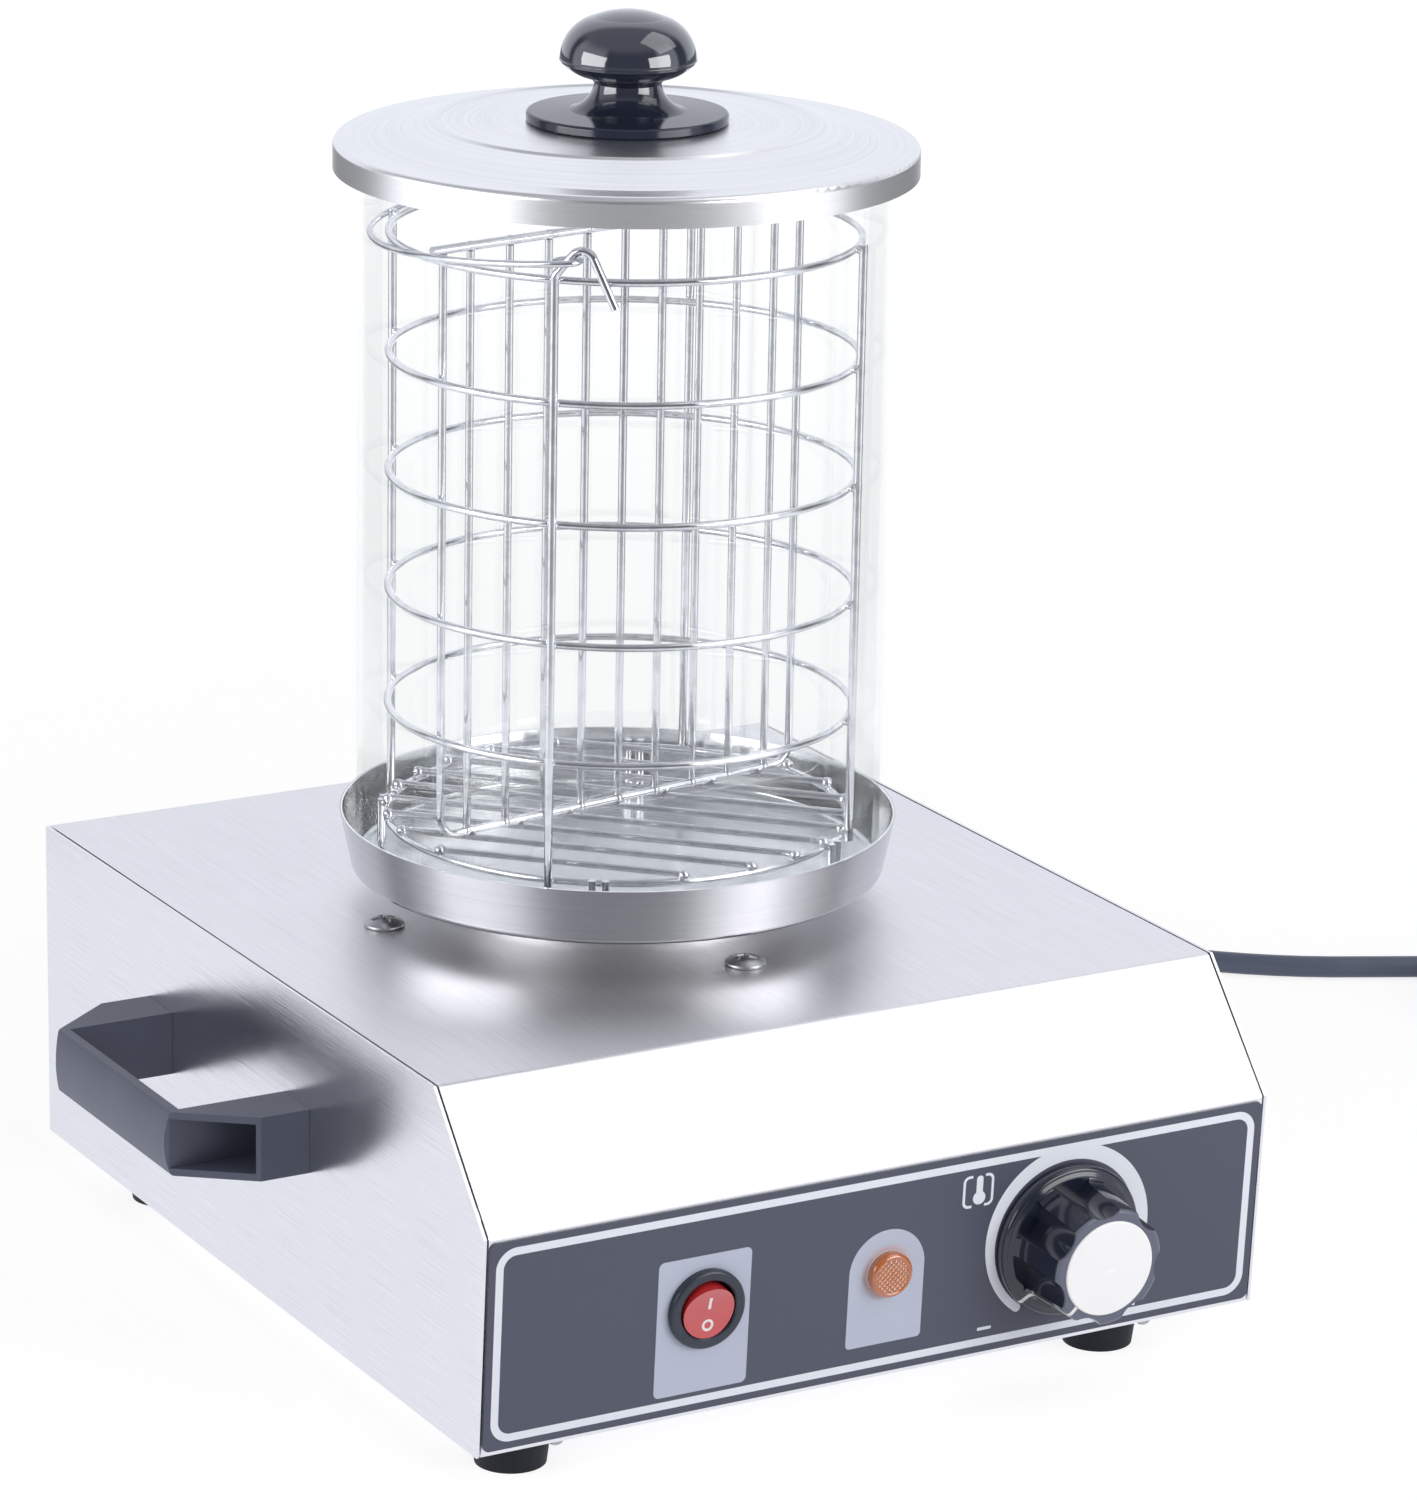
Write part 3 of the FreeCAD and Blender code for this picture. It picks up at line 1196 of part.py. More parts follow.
# Dial with a skirt, a lobed grip and a cap let into its face; the first flute lies opposite the pointer
dial = turned("control_knob", [
    ("ShaftRadius + 0.05", "0"),
    (SKIRT_RADIUS, "0"),
    (SKIRT_RADIUS, "DialSkirtHeight - 1.6", "1.6", "left"),
    (SKIRT_RADIUS + " - 1.6", "DialSkirtHeight"),
    ("DialGrip + 2.0", "DialSkirtHeight + 0.5", "2.4", "right"),
    ("DialGrip", "DialSkirtHeight + 2.4"),
    ("DialGrip - 1.0", "DialHeight - 1.4", "1.4", "left"),
    ("DialGrip - 2.4", "DialHeight"),
    (CAP_RADIUS + " + 0.1", "DialHeight"),
    (CAP_RADIUS + " + 0.1", "DialHeight - CapHeight"),
    ("0", "DialHeight - CapHeight"),
    ("0", "DialHeight - CapHeight - 3.0"),
    ("ShaftRadius + 0.05", "DialHeight - CapHeight - 3.0"),
])
flute_sketch = sketch_in(dial, "flute_outline", "XY_Plane", "DialHeight + 1.0")
flute_away = "0.7071*DialGrip + 0.7071*FluteRadius - 0.7071*FluteDepth"
draw_circle(flute_sketch, flute_away, flute_away, "FluteRadius")
flute = dial.newObject("PartDesign::Pocket", "flute")
flute.Profile = flute_sketch
bind(flute, "Length", "DialHeight - DialSkirtHeight + 0.4")
doc.recompute()
plain_volume = dial.Shape.Volume
flutes = dial.newObject("PartDesign::PolarPattern", "flutes")
flutes.Originals = [flute]
flutes.Axis = (flute_sketch, ["N_Axis"])
flutes.Angle = 360
flutes.Occurrences = int(SIZES["DialFlutes"])
dial.Tip = flutes
doc.recompute()
print("dial volume with one flute", round(plain_volume), "with all", round(dial.Shape.Volume))
keep("control_knob", on_panel(dial, "DialAcross", PANEL_MIDDLE, FACE + " + DialGap"))
cap = turned("knob_cap", [
    ("0", "0"),
    (CAP_RADIUS, "0"),
    (CAP_RADIUS, "CapHeight - 0.2", "0.7", "left"),
    (CAP_RADIUS + " - 0.6", "CapHeight + 0.4"),
    ("0", "CapHeight + 0.6"),
])
cap_out = FACE + " + DialGap + DialHeight - CapHeight + SeatGap"
keep("knob_cap", on_panel(cap, "DialAcross", PANEL_MIDDLE, cap_out))

# Sensor bulb under the heater dish and its thin tube to the thermostat
axis_y = amount(AXIS_Y)
dish_under = amount(PLATE_UNDER + " - DishDepth - DishWall - SeatGap")
bulb_y = axis_y - 26.0
panel_middle = amount(PANEL_MIDDLE)
bulb_z = dish_under - SIZES["BulbRadius"] - 0.1
bulb_half = SIZES["BulbLength"] / 2
thermostat_back = panel_point(SIZES["DialAcross"], panel_middle, amount(box_under + " - ThermostatDepth"))
bulb_ends = [Vector(side * bulb_half, bulb_y, bulb_z) for side in (-1, 1)]
bulb_path = [Part.LineSegment(*bulb_ends).toShape()]
bulb = as_feature("sensor_bulb", tube(bulb_path, SIZES["BulbRadius"]))
capillary_points = [
    Vector(bulb_half + 0.05, bulb_y, bulb_z),
    Vector(bulb_half + 22.0, bulb_y, bulb_z),
    Vector(SIZES["DialAcross"] + 9.0, bulb_y - 35.0, bulb_z - 18.0),
    Vector(SIZES["DialAcross"] + 9.0, thermostat_back.y + 32.0, thermostat_back.z + 8.0),
    Vector(SIZES["DialAcross"] + 9.0, thermostat_back.y + 0.9, thermostat_back.z + 8.0),
]
capillary = as_feature("capillary", wire_shape(capillary_points, 8.0, SIZES["CapillaryRadius"]))
keep("sensor_tube", compound("sensor_tube", [bulb, capillary]))

# Terminal block on the base plate
block = doc.addObject("Part::Box", "terminal_block")
bind(block, "Length", "BlockLength")
bind(block, "Width", "BlockWidth")
bind(block, "Height", "BlockHeight")
block_across = FOOT_RIGHT + " - 64.0"
block_along = f"HousingCentre + {FOOT_REAR} - 17.0"
keep("terminal_block", put(block, block_across, block_along, BASE + " + SheetWall + SeatGap"))

# Cord gland with a tapered sleeve, and its nut inside
gland = turned("cable_gland", [
    ("0", "- 13.0"),
    ("GlandBarrel", "- 13.0"),
    ("GlandBarrel", "SeatGap"),
    (GLAND_FLANGE, "SeatGap"),
    (GLAND_FLANGE, "3.0"),
    ("CordRadius + 2.6", "4.5"),
    ("CordRadius + 0.9", "GlandLength"),
    ("0", "GlandLength"),
])
back_face = "HousingCentre + HousingDepth/2"
gland_z = BASE + " + GlandUp"
keep("cable_gland", put(gland, GLAND_ACROSS, back_face, gland_z, Vector(1, 0, 0), -90))
gland_nut = nut("gland_nut", GLAND_FLANGE, "4.0", "GlandBarrel + 0.05")
put(gland_nut, GLAND_ACROSS, back_face + " - SheetWall - SeatGap", gland_z, Vector(1, 0, 0), 90)
keep("gland_nut", gland_nut)

# Wires inside the housing
gland_in = Vector(amount(GLAND_ACROSS), amount(back_face) - 13.2, amount(gland_z))
block_x = amount(FOOT_RIGHT + " - 64.0")
block_y = amount(f"HousingCentre + {FOOT_REAR} - 17.0 + BlockWidth/2")
block_z = amount("FootHeight + SheetWall + 12.0")
switch_back = panel_point(SIZES["SwitchAcross"], panel_middle, amount(FACE + " - SwitchDepth"))
pin_low = amount(PLATE_UNDER + " - DishDepth - DishWall - TerminalDrop") - 0.2
pin_half = SIZES["TerminalSpread"] / 2
wire_routes = [
    [gland_in, gland_in + Vector(0, -18, 0), Vector(gland_in.x - 3, block_y, block_z + 4),
     Vector(block_x + SIZES["BlockLength"] + 0.2, block_y, block_z)],
    [Vector(block_x - 0.2, block_y, block_z), Vector(block_x - 30, block_y, block_z),
     Vector(switch_back.x + 5, axis_y + 30, block_z + 12),
     Vector(switch_back.x + 5, switch_back.y + 30, switch_back.z),
     Vector(switch_back.x + 5, switch_back.y + 1.4, switch_back.z)],
    [Vector(switch_back.x - 5, switch_back.y + 1.4, switch_back.z),
     Vector(switch_back.x - 5, switch_back.y + 20, switch_back.z),
     Vector(switch_back.x + 26, switch_back.y + 34, switch_back.z + 8),
     Vector(thermostat_back.x - 26, switch_back.y + 34, switch_back.z + 8),
     Vector(thermostat_back.x - 8, thermostat_back.y + 15, thermostat_back.z),
     Vector(thermostat_back.x - 8, thermostat_back.y + 1.4, thermostat_back.z)],
    [Vector(thermostat_back.x - 1, thermostat_back.y + 1.4, thermostat_back.z - 8),
     Vector(thermostat_back.x - 1, thermostat_back.y + 30, thermostat_back.z - 8),
     Vector(pin_half + 6, axis_y - 40, pin_low - 24), Vector(pin_half, axis_y, pin_low - 16),
     Vector(pin_half, axis_y, pin_low)],
    [Vector(-pin_half, axis_y, pin_low), Vector(-pin_half, axis_y, pin_low - 18),
     Vector(block_x - 16, axis_y + 34, block_z + 20), Vector(block_x + 20, block_y - 34, block_z),
     Vector(block_x + 20, block_y - SIZES["BlockWidth"] / 2 - 0.2, block_z)],
]
wires = []
for number, route in enumerate(wire_routes):
    wires.append(as_feature(f"wire_{number}", wire_shape(route, 6.0, SIZES["WireRadius"])))
keep("internal_wiring", compound("internal_wiring", wires))

# Mains cord: a short coil with its plug, then the run from the gland to the coil
cord = SIZES["CordRadius"]
floor_level = cord + SIZES["CordFloorGap"]
coil_centre = Vector(SIZES["CoilAcross"], SIZES["CoilBack"], 0)
coil_turns = 1.5
coil_half = coil_turns * 2 * math.pi
coil_inner = SIZES["CoilRadius"] - SIZES["CoilPitch"] * coil_turns / 2
coil_layer = 2 * cord + 0.7
coil_start = math.radians(65.0)


def coil_point(turn):
    """Spirals in on the lower layer, climbs in the middle half turn, spirals out on top."""
    quarter = math.pi / 2
    if abs(turn) < quarter:
        spread = turn * turn / math.pi + math.pi / 4
        lift = 0.5 + 0.5 * math.sin(turn)
    else:
        spread = abs(turn)
        lift = 0.0 if turn < 0 else 1.0
    radius = coil_inner + SIZES["CoilPitch"] * spread / (2 * math.pi)
    angle = coil_start - (turn + coil_half)
    flat = Vector(math.cos(angle), math.sin(angle), 0) * radius
    return coil_centre + flat + Vector(0, 0, floor_level + coil_layer * lift)


def coil_way(turn):
    small = 1e-4
    return (coil_point(turn + small) - coil_point(turn - small)).normalize()


def arc_from(start, way, end):
    chord = end - start
    length = chord.Length
    along = chord / length
    side = way - along * way.dot(along)
    if side.Length < 1e-7:
        return Part.LineSegment(start, end).toShape()
    side = side.normalize()
    lean = way.getAngle(along)
    middle = (start + end) * 0.5 + side * (length / 2 * math.tan(lean / 2))
    return Part.Arc(start, middle, end).toShape()


def biarc(start, way, end, end_way):
    """Two arcs that leave along one direction and arrive along another."""
    chord = end - start
    both = way + end_way
    spread = 2 * (1 - way.dot(end_way))
    across = chord.dot(both)
    length = chord.dot(chord)
    if spread < 1e-9:
        reach = length / (2 * across)
    else:
        reach = (-across + math.sqrt(across * across + spread * length)) / spread
    meet = (start + end + (way - end_way) * reach) * 0.5
    return [arc_from(start, way, meet), arc_from(end, end_way * -1, meet)]


coil_steps = int(coil_turns * 8)
coil_edges = []
for number in range(coil_steps):
    first = -coil_half + 2 * coil_half * number / coil_steps
    last = -coil_half + 2 * coil_half * (number + 1) / coil_steps
    coil_edges += biarc(coil_point(first), coil_way(first), coil_point(last), coil_way(last))
plug_way = coil_way(coil_half)
plug_start = coil_point(coil_half) + plug_way * SIZES["PlugLead"]
coil_edges.append(Part.LineSegment(coil_point(coil_half), plug_start).toShape())
coil_wire = Part.Wire(Part.__sortEdges__(coil_edges))
keep("cord_coil", as_feature("cord_coil", tube(coil_wire.OrderedEdges, cord)))
samples = coil_wire.discretize(Distance=2.0)
nearest = 1e9
for number, point in enumerate(samples):
    for other in samples[number + 20:]:
        nearest = min(nearest, (point - other).Length)
print("coil gap to itself", round(nearest - 2 * cord, 2), "length", round(coil_wire.Length))

coil_begin = coil_point(-coil_half)
begin_way = coil_way(-coil_half)
gland_tip = Vector(amount(GLAND_ACROSS), amount(back_face + " + GlandLength") + 0.05, amount(gland_z))
cord_points = [
    gland_tip,
    gland_tip + Vector(0, 40, 0),
    Vector(gland_tip.x + 17, gland_tip.y + 78, 0.45 * gland_tip.z),
    Vector(gland_tip.x + 57, gland_tip.y + 97, floor_level),
    Vector(gland_tip.x + 109, gland_tip.y + 86, floor_level),
    Vector(gland_tip.x + 160, gland_tip.y + 45, floor_level),
    Vector(300, 200, floor_level),
    Vector(348, 148, floor_level),
    coil_begin - begin_way * 58.0,
    coil_begin - begin_way * 0.05,
]


def cord_bends(points):
    bends = []
    for number in range(1, len(points) - 1):
        before = points[number] - points[number - 1]
        after = points[number + 1] - points[number]
        bends.append(0.45 * min(before.Length, after.Length) / math.tan(before.getAngle(after) / 2))
    return bends


bends = cord_bends(cord_points)
cord_edges = bent_path(cord_points, bends)
cord_length = sum(edge.Length for edge in cord_edges)
print("cord bends", [round(bend) for bend in bends], "length", round(cord_length))
for point in cord_points:
    print("cord point", [round(value, 1) for value in point])
keep("power_cord", as_feature("power_cord", tube(cord_edges, cord)))

# Plain two-pin plug at the end of the coil
plug_side = Vector(-plug_way.y, plug_way.x, 0).normalize()
plug_ahead = Vector(plug_side.y, -plug_side.x, 0)
up = Vector(0, 0, 1)
plug_frame = FreeCAD.Matrix(plug_side.x, up.x, plug_ahead.x, 0, plug_side.y, up.y, plug_ahead.y, 0,
                            plug_side.z, up.z, plug_ahead.z, 0, 0, 0, 0, 1)
plug_turn = Placement(plug_frame).Rotation
plug_height = floor_level + coil_layer
plug_body = plate("plug_block", "XY_Plane", [
    ("- 16.0", "- 6.0"),
    ("- 10.0", "- 12.5"),
    ("10.0", "- 12.5"),
    ("16.0", "- 6.0"),
    ("16.0", "6.0"),
    ("10.0", "12.5"),
    ("- 10.0", "12.5"),
    ("- 16.0", "6.0"),
], "PlugLength", "22.0")
sleeve = doc.addObject("Part::Cone", "plug_sleeve")
bind(sleeve, "Radius1", "CordRadius + 1.0")
sleeve.Radius2 = 9.0
sleeve.Height = 23.0
plug = doc.addObject("Part::Fuse", "power_plug")
plug.Base = plug_body
plug.Tool = sleeve
plug.Placement = Placement(plug_start + plug_way * 0.05, plug_turn)
keep("power_plug", plug)
pins = []
for number, side in enumerate((-1, 1)):
    pin = cylinder(f"plug_pin_{number}", "PinRadius", "PinLength")
    spot = plug_start + plug_ahead * (22.1 + SIZES["PlugLength"]) + plug_side * side * SIZES["PinSpread"]
    pin.Placement = Placement(spot, plug_turn)
    pins.append(pin)
keep("plug_pins", compound("plug_pins", pins))

# Check every object, then write one file for each piece
doc.recompute()
faults = []
for thing in doc.Objects:
    if "Invalid" in thing.State or "Error" in thing.State:
        faults.append(f"{thing.Name} {thing.State}")
for label, thing in nodes.items():
    if thing.Shape.isNull() or not thing.Shape.isValid():
        faults.append(f"{label} has no valid shape")
if faults:
    raise RuntimeError("not written: " + "; ".join(faults))
os.makedirs("parts", exist_ok=True)
for label, thing in nodes.items():
    thing.Shape.exportStep(f"parts/{label}.step")
whole = FreeCAD.BoundBox()
for label, thing in nodes.items():
    if label not in ("power_cord", "cord_coil", "power_plug", "plug_pins", "cable_gland"):
        whole.add(thing.Shape.BoundBox)
print("pieces", len(nodes))
corners = (whole.XMin, whole.XMax, whole.YMin, whole.YMax, whole.ZMin, whole.ZMax)
print("box", [round(value, 2) for value in corners])
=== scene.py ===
# %% [markdown]
# This lesson dresses a counter-top sausage steamer: a steel housing with a dial, a lamp and a rocker,
# a heated water pan, a clear cylinder, a wire basket and a knobbed lid. The solid pieces come from the
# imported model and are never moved. Blender adds finishes, the cord and the small pieces that are too
# fine for the solids.

# %% Load the frame
import json
import math

import bmesh
import bpy
import numpy as np
from mathutils import Matrix, Vector


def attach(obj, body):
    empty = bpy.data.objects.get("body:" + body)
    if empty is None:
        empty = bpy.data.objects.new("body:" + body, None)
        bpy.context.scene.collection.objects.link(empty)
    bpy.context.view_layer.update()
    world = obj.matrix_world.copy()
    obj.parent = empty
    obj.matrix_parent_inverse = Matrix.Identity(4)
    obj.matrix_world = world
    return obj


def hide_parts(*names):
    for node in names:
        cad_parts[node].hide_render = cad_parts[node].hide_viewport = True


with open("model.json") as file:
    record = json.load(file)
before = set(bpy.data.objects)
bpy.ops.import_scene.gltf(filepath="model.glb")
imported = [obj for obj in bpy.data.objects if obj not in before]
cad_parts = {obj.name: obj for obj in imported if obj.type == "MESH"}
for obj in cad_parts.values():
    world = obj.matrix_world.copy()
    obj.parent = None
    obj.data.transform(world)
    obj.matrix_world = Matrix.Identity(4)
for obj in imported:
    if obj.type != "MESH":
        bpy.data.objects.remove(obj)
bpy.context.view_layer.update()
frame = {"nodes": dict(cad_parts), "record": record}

MM = 0.001
SLOT_NODES = {}
for subpart in frame["record"]["subparts"]:
    SLOT_NODES.setdefault(subpart["material_slot"], []).append(subpart["node"])
print("nodes", len(frame["nodes"]), "slots", len(SLOT_NODES))

# %% [markdown]
# The camera stands where the picture was taken. It could be aimed by eye, but a bearing, a height angle,
# a small roll and a place worked out from the housing's corners put every edge where it belongs.

# %% Camera
CAMERA_PLACE = Vector((-945.15, -1683.29, 761.3)) * MM
CAMERA_AZIMUTH = math.radians(-29.786)
CAMERA_HEIGHT_ANGLE = math.radians(16.809)
CAMERA_ROLL = math.radians(1.07)
FOCAL_PIXELS = 6144.03
PICTURE_WIDTH = 1417
SENSOR_WIDTH = 36.0


def camera_axes():
    """The camera's right, up and backward directions: a bearing round Z, a tilt and a roll."""
    level = math.cos(CAMERA_HEIGHT_ANGLE)
    back = Vector((math.sin(CAMERA_AZIMUTH) * level, -math.cos(CAMERA_AZIMUTH) * level,
                   math.sin(CAMERA_HEIGHT_ANGLE)))
    right = Vector((math.cos(CAMERA_AZIMUTH), math.sin(CAMERA_AZIMUTH), 0.0))
    up = back.cross(right)
    rolled_right = right * math.cos(CAMERA_ROLL) + up * math.sin(CAMERA_ROLL)
    rolled_up = up * math.cos(CAMERA_ROLL) - right * math.sin(CAMERA_ROLL)
    return rolled_right, rolled_up, back


lens = bpy.data.cameras.new("photo_camera")
lens.sensor_fit = "HORIZONTAL"
lens.sensor_width = SENSOR_WIDTH
lens.lens = FOCAL_PIXELS * SENSOR_WIDTH / PICTURE_WIDTH
camera = bpy.data.objects.new("photo_camera", lens)
bpy.context.scene.collection.objects.link(camera)
camera.matrix_world = Matrix.Translation(CAMERA_PLACE) @ Matrix(camera_axes()).transposed().to_4x4()
bpy.context.scene.camera = camera
bpy.context.scene.view_settings.view_transform = "Standard"
print("camera lens", round(lens.lens, 2))

# %% [markdown]
# The mains lead leaves a tapered gland at the back, drops to the counter and runs to a tied coil with its
# plug. A mesh tube would do, but a curve with a round bevel keeps its length true and its bends smooth.
# The route's points are few and listed one by one; the coil's points come from a formula.

# %% Cord
CORD_RADIUS = 4.1
CORD_ROUTE = [
    (95.0, 210.6, 36.5),
    (95.0, 250.6, 36.5),
    (112.0, 288.6, 16.4),
    (152.0, 307.6, 4.25),
    (204.0, 296.6, 4.25),
    (255.0, 255.6, 4.25),
    (300.0, 200.0, 4.25),
    (348.0, 148.0, 4.25),
    (406.6, 119.9, 4.25),
]
COIL_CENTRE = (437.0, 48.0)
COIL_START_ANGLE = 65.0
COIL_TURNS = 3
COIL_INNER = 37.325
COIL_PITCH = 8.9
COIL_FLOOR = 4.25
COIL_POINTS_PER_TURN = 24
PLUG_LEAD = 22.5


def coil_points():
    """A flat spiral that runs in, climbs one layer in the half turn where it reverses, and runs out.
    Away from the reversal the radius grows by one pitch each turn; near it a parabola keeps it smooth."""
    half = COIL_TURNS * math.pi
    turn = np.linspace(-half, half, COIL_TURNS * COIL_POINTS_PER_TURN + 1)
    near = np.abs(turn) < math.pi / 2
    spread = np.where(near, turn ** 2 / math.pi + math.pi / 4, np.abs(turn))
    lift = np.where(near, 0.5 + 0.5 * np.sin(turn), (turn > 0).astype(float))
    radius = COIL_INNER + COIL_PITCH * spread / (2 * math.pi)
    angle = math.radians(COIL_START_ANGLE) - (turn + half)
    x = COIL_CENTRE[0] + radius * np.cos(angle)
    y = COIL_CENTRE[1] + radius * np.sin(angle)
    points = np.stack([x, y, COIL_FLOOR + COIL_PITCH * lift], axis=1)
    last_way = points[-1] - points[-2]
    lead = points[-1] + last_way / np.linalg.norm(last_way) * PLUG_LEAD
    return np.vstack([points, lead])


cord_points = np.vstack([np.array(CORD_ROUTE), coil_points()]) * MM
cord_line = bpy.data.curves.new("mains_lead", "CURVE")
cord_line.dimensions = "3D"
cord_line.bevel_depth = 1.0
cord_line.bevel_resolution = 5
cord_line.resolution_u = 6
cord_line.use_fill_caps = True
spline = cord_line.splines.new("NURBS")
spline.points.add(len(cord_points) - 1)
weighted = np.hstack([cord_points, np.ones((len(cord_points), 1))])
spline.points.foreach_set("co", weighted.ravel())
spline.points.foreach_set("radius", np.full(len(cord_points), CORD_RADIUS * MM))
spline.order_u = 3
spline.use_endpoint_u = True
mains_lead = bpy.data.objects.new("mains_lead", cord_line)
bpy.context.scene.collection.objects.link(mains_lead)
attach(mains_lead, "housing")
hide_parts("power_cord", "cord_coil")
print("cord points", len(cord_points))

# %% [markdown]
# Every new solid piece below is a grid of points. One helper turns grids into a closed mesh, joins the
# seams and poles, and points the faces outwards, so that each shape is only its formula.

# %% Grids into pieces


def grid_quads(shape, wrap_rows, wrap_columns):
    """The corner numbers of each quad of a grid; a wrapped side joins its last line to its first."""
    index = np.arange(shape[0] * shape[1]).reshape(shape)
    if wrap_rows:
        index = np.vstack([index, index[:1]])
    if wrap_columns:
        index = np.hstack([index, index[:, :1]])
    corners = [index[:-1, :-1], index[1:, :-1], index[1:, 1:], index[:-1, 1:]]
    return np.stack(corners, axis=-1).reshape(-1, 4)


def make_piece(name, grids, body, wrap_rows=False, smooth=True):
    """Joins grids of points in millimetres, each rows by columns by 3 and closed along its columns."""
    points, quads, count = [], [], 0
    for grid in grids:
        quads.append(grid_quads(grid.shape[:2], wrap_rows, True) + count)
        points.append(grid.reshape(-1, 3))
        count += grid.shape[0] * grid.shape[1]
    mesh = bpy.data.meshes.new(name)
    mesh.from_pydata((np.vstack(points) * MM).tolist(), [], np.vstack(quads).tolist())
    work = bmesh.new()
    work.from_mesh(mesh)
    bmesh.ops.remove_doubles(work, verts=work.verts, dist=1e-7)
    bmesh.ops.dissolve_degenerate(work, edges=work.edges, dist=1e-7)
    bmesh.ops.recalc_face_normals(work, faces=work.faces)
    work.to_mesh(mesh)
    work.free()
    mesh.polygons.foreach_set("use_smooth", np.full(len(mesh.polygons), smooth))
    piece = bpy.data.objects.new(name, mesh)
    bpy.context.scene.collection.objects.link(piece)
    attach(piece, body)
    print("piece", name, "faces", len(mesh.polygons))
    return piece


def turned(profile, steps):
    """A profile of radius and height pairs turned once round Z."""
    profile = np.asarray(profile, dtype=float)
    angle = np.linspace(0, 2 * math.pi, steps, endpoint=False)
    radius = profile[:, :1]
    height = np.broadcast_to(profile[:, 1:], (len(profile), steps))
    return np.stack([radius * np.cos(angle), radius * np.sin(angle), height], axis=-1)


# %% [markdown]
# A tie holds the coil. It is a flat band bent round the bundle of turns: a rounded rectangle in the plane
# that cuts the coil, with a thin strip carried along it.

# %% Coil tie
TIE_ANGLE = math.radians(120.0)
TIE_MIDDLE_RADIUS = 45.2
TIE_MIDDLE_HEIGHT = 8.9
TIE_HALF = (11.0, 8.7)
TIE_WALL = 1.0
TIE_WIDTH = 7.0


def coil_tie():
    """A superellipse of power five in the cutting plane; the strip's four corners follow it, in and out."""
    along = np.linspace(0, 2 * math.pi, 72, endpoint=False)
    power = 2 / 5
    across = np.sign(np.cos(along)) * np.abs(np.cos(along)) ** power
    rise = np.sign(np.sin(along)) * np.abs(np.sin(along)) ** power
    corners = [(-TIE_WALL, -1), (0.0, -1), (0.0, 1), (-TIE_WALL, 1)]
    rows = []
    for inset, side in corners:
        radius = TIE_MIDDLE_RADIUS + (TIE_HALF[0] + inset) * across
        height = TIE_MIDDLE_HEIGHT + (TIE_HALF[1] + inset) * rise
        offset = side * TIE_WIDTH / 2
        x = COIL_CENTRE[0] + radius * math.cos(TIE_ANGLE) - offset * math.sin(TIE_ANGLE)
        y = COIL_CENTRE[1] + radius * math.sin(TIE_ANGLE) + offset * math.cos(TIE_ANGLE)
        rows.append(np.stack([x, y, height], axis=1))
    return np.stack(rows)


tie = make_piece("coil_tie", [coil_tie()], "housing", wrap_rows=True, smooth=False)

# %% [markdown]
# Four low domed screws round the pan hold the heater's dish under the plate. The solids have plain heads;
# the real ones have a cross recess. The head is one height formula over a disc, with the cross pressed
# into it, and shank and nut are turned profiles.

# %% Pan screws
PAN_AXIS_Y = 28.24
PLATE_TOP = 121.55
SCREW_CIRCLE = 86.8
SCREW_HEAD = 6.7
SCREW_HEAD_HEIGHT = 3.0
SCREW_SHANK = 2.4
SCREW_LENGTH = 9.0
CROSS_ARM = 4.2
CROSS_HALF_WIDTH = 0.95
CROSS_DEPTH = 1.9
CROSS_LEAN = 0.15
CROSS_END = 1.0
DOME_DROP = 0.62
DOME_POWER = 2.4
HEAD_RINGS = 44
HEAD_STEPS = 120
SHANK_STEPS = 24
NUT_SIDES = 6
CROSS_TURNS = (20.0, 65.0, -10.0, 38.0)
NUT_RADIUS = 5.12
NUT_LOW = -5.4
NUT_HEIGHT = 3.2


def about_pan(radius, angle, height):
    """A place by its distance and angle about the pan's axis."""
    return np.array([radius * math.cos(angle), PAN_AXIS_Y + radius * math.sin(angle), height])


def smooth_step(low, high, value):
    """Zero below low, one above high and a smooth cubic between."""
    part = np.clip((value - low) / (high - low), 0, 1)
    return part * part * (3 - 2 * part)


def screw_head(turn):
    """Height over a disc: a flat skirt edge, a spherical dome, less a cross whose walls lean a little."""
    rings = np.linspace(0, SCREW_HEAD, HEAD_RINGS)
    radius = np.concatenate([rings, [SCREW_HEAD, SCREW_SHANK]])[:, None]
    angle = np.linspace(0, 2 * math.pi, HEAD_STEPS, endpoint=False)[None, :]
    x, y = radius * np.cos(angle), radius * np.sin(angle)
    dome = SCREW_HEAD_HEIGHT * (1 - DOME_DROP * (radius / SCREW_HEAD) ** DOME_POWER)
    turned_x = x * math.cos(turn) + y * math.sin(turn)
    turned_y = y * math.cos(turn) - x * math.sin(turn)

    def slot_of(along, across):
        lean = 1 - smooth_step(CROSS_HALF_WIDTH - CROSS_LEAN, CROSS_HALF_WIDTH + CROSS_LEAN, np.abs(across))
        return lean * (1 - smooth_step(CROSS_ARM - CROSS_END, CROSS_ARM, np.abs(along)))

    cross = np.maximum(slot_of(turned_x, turned_y), slot_of(turned_y, turned_x))
    height = dome - CROSS_DEPTH * cross
    height[-2:] = 0.0
    return np.stack([x, y, height], axis=-1)


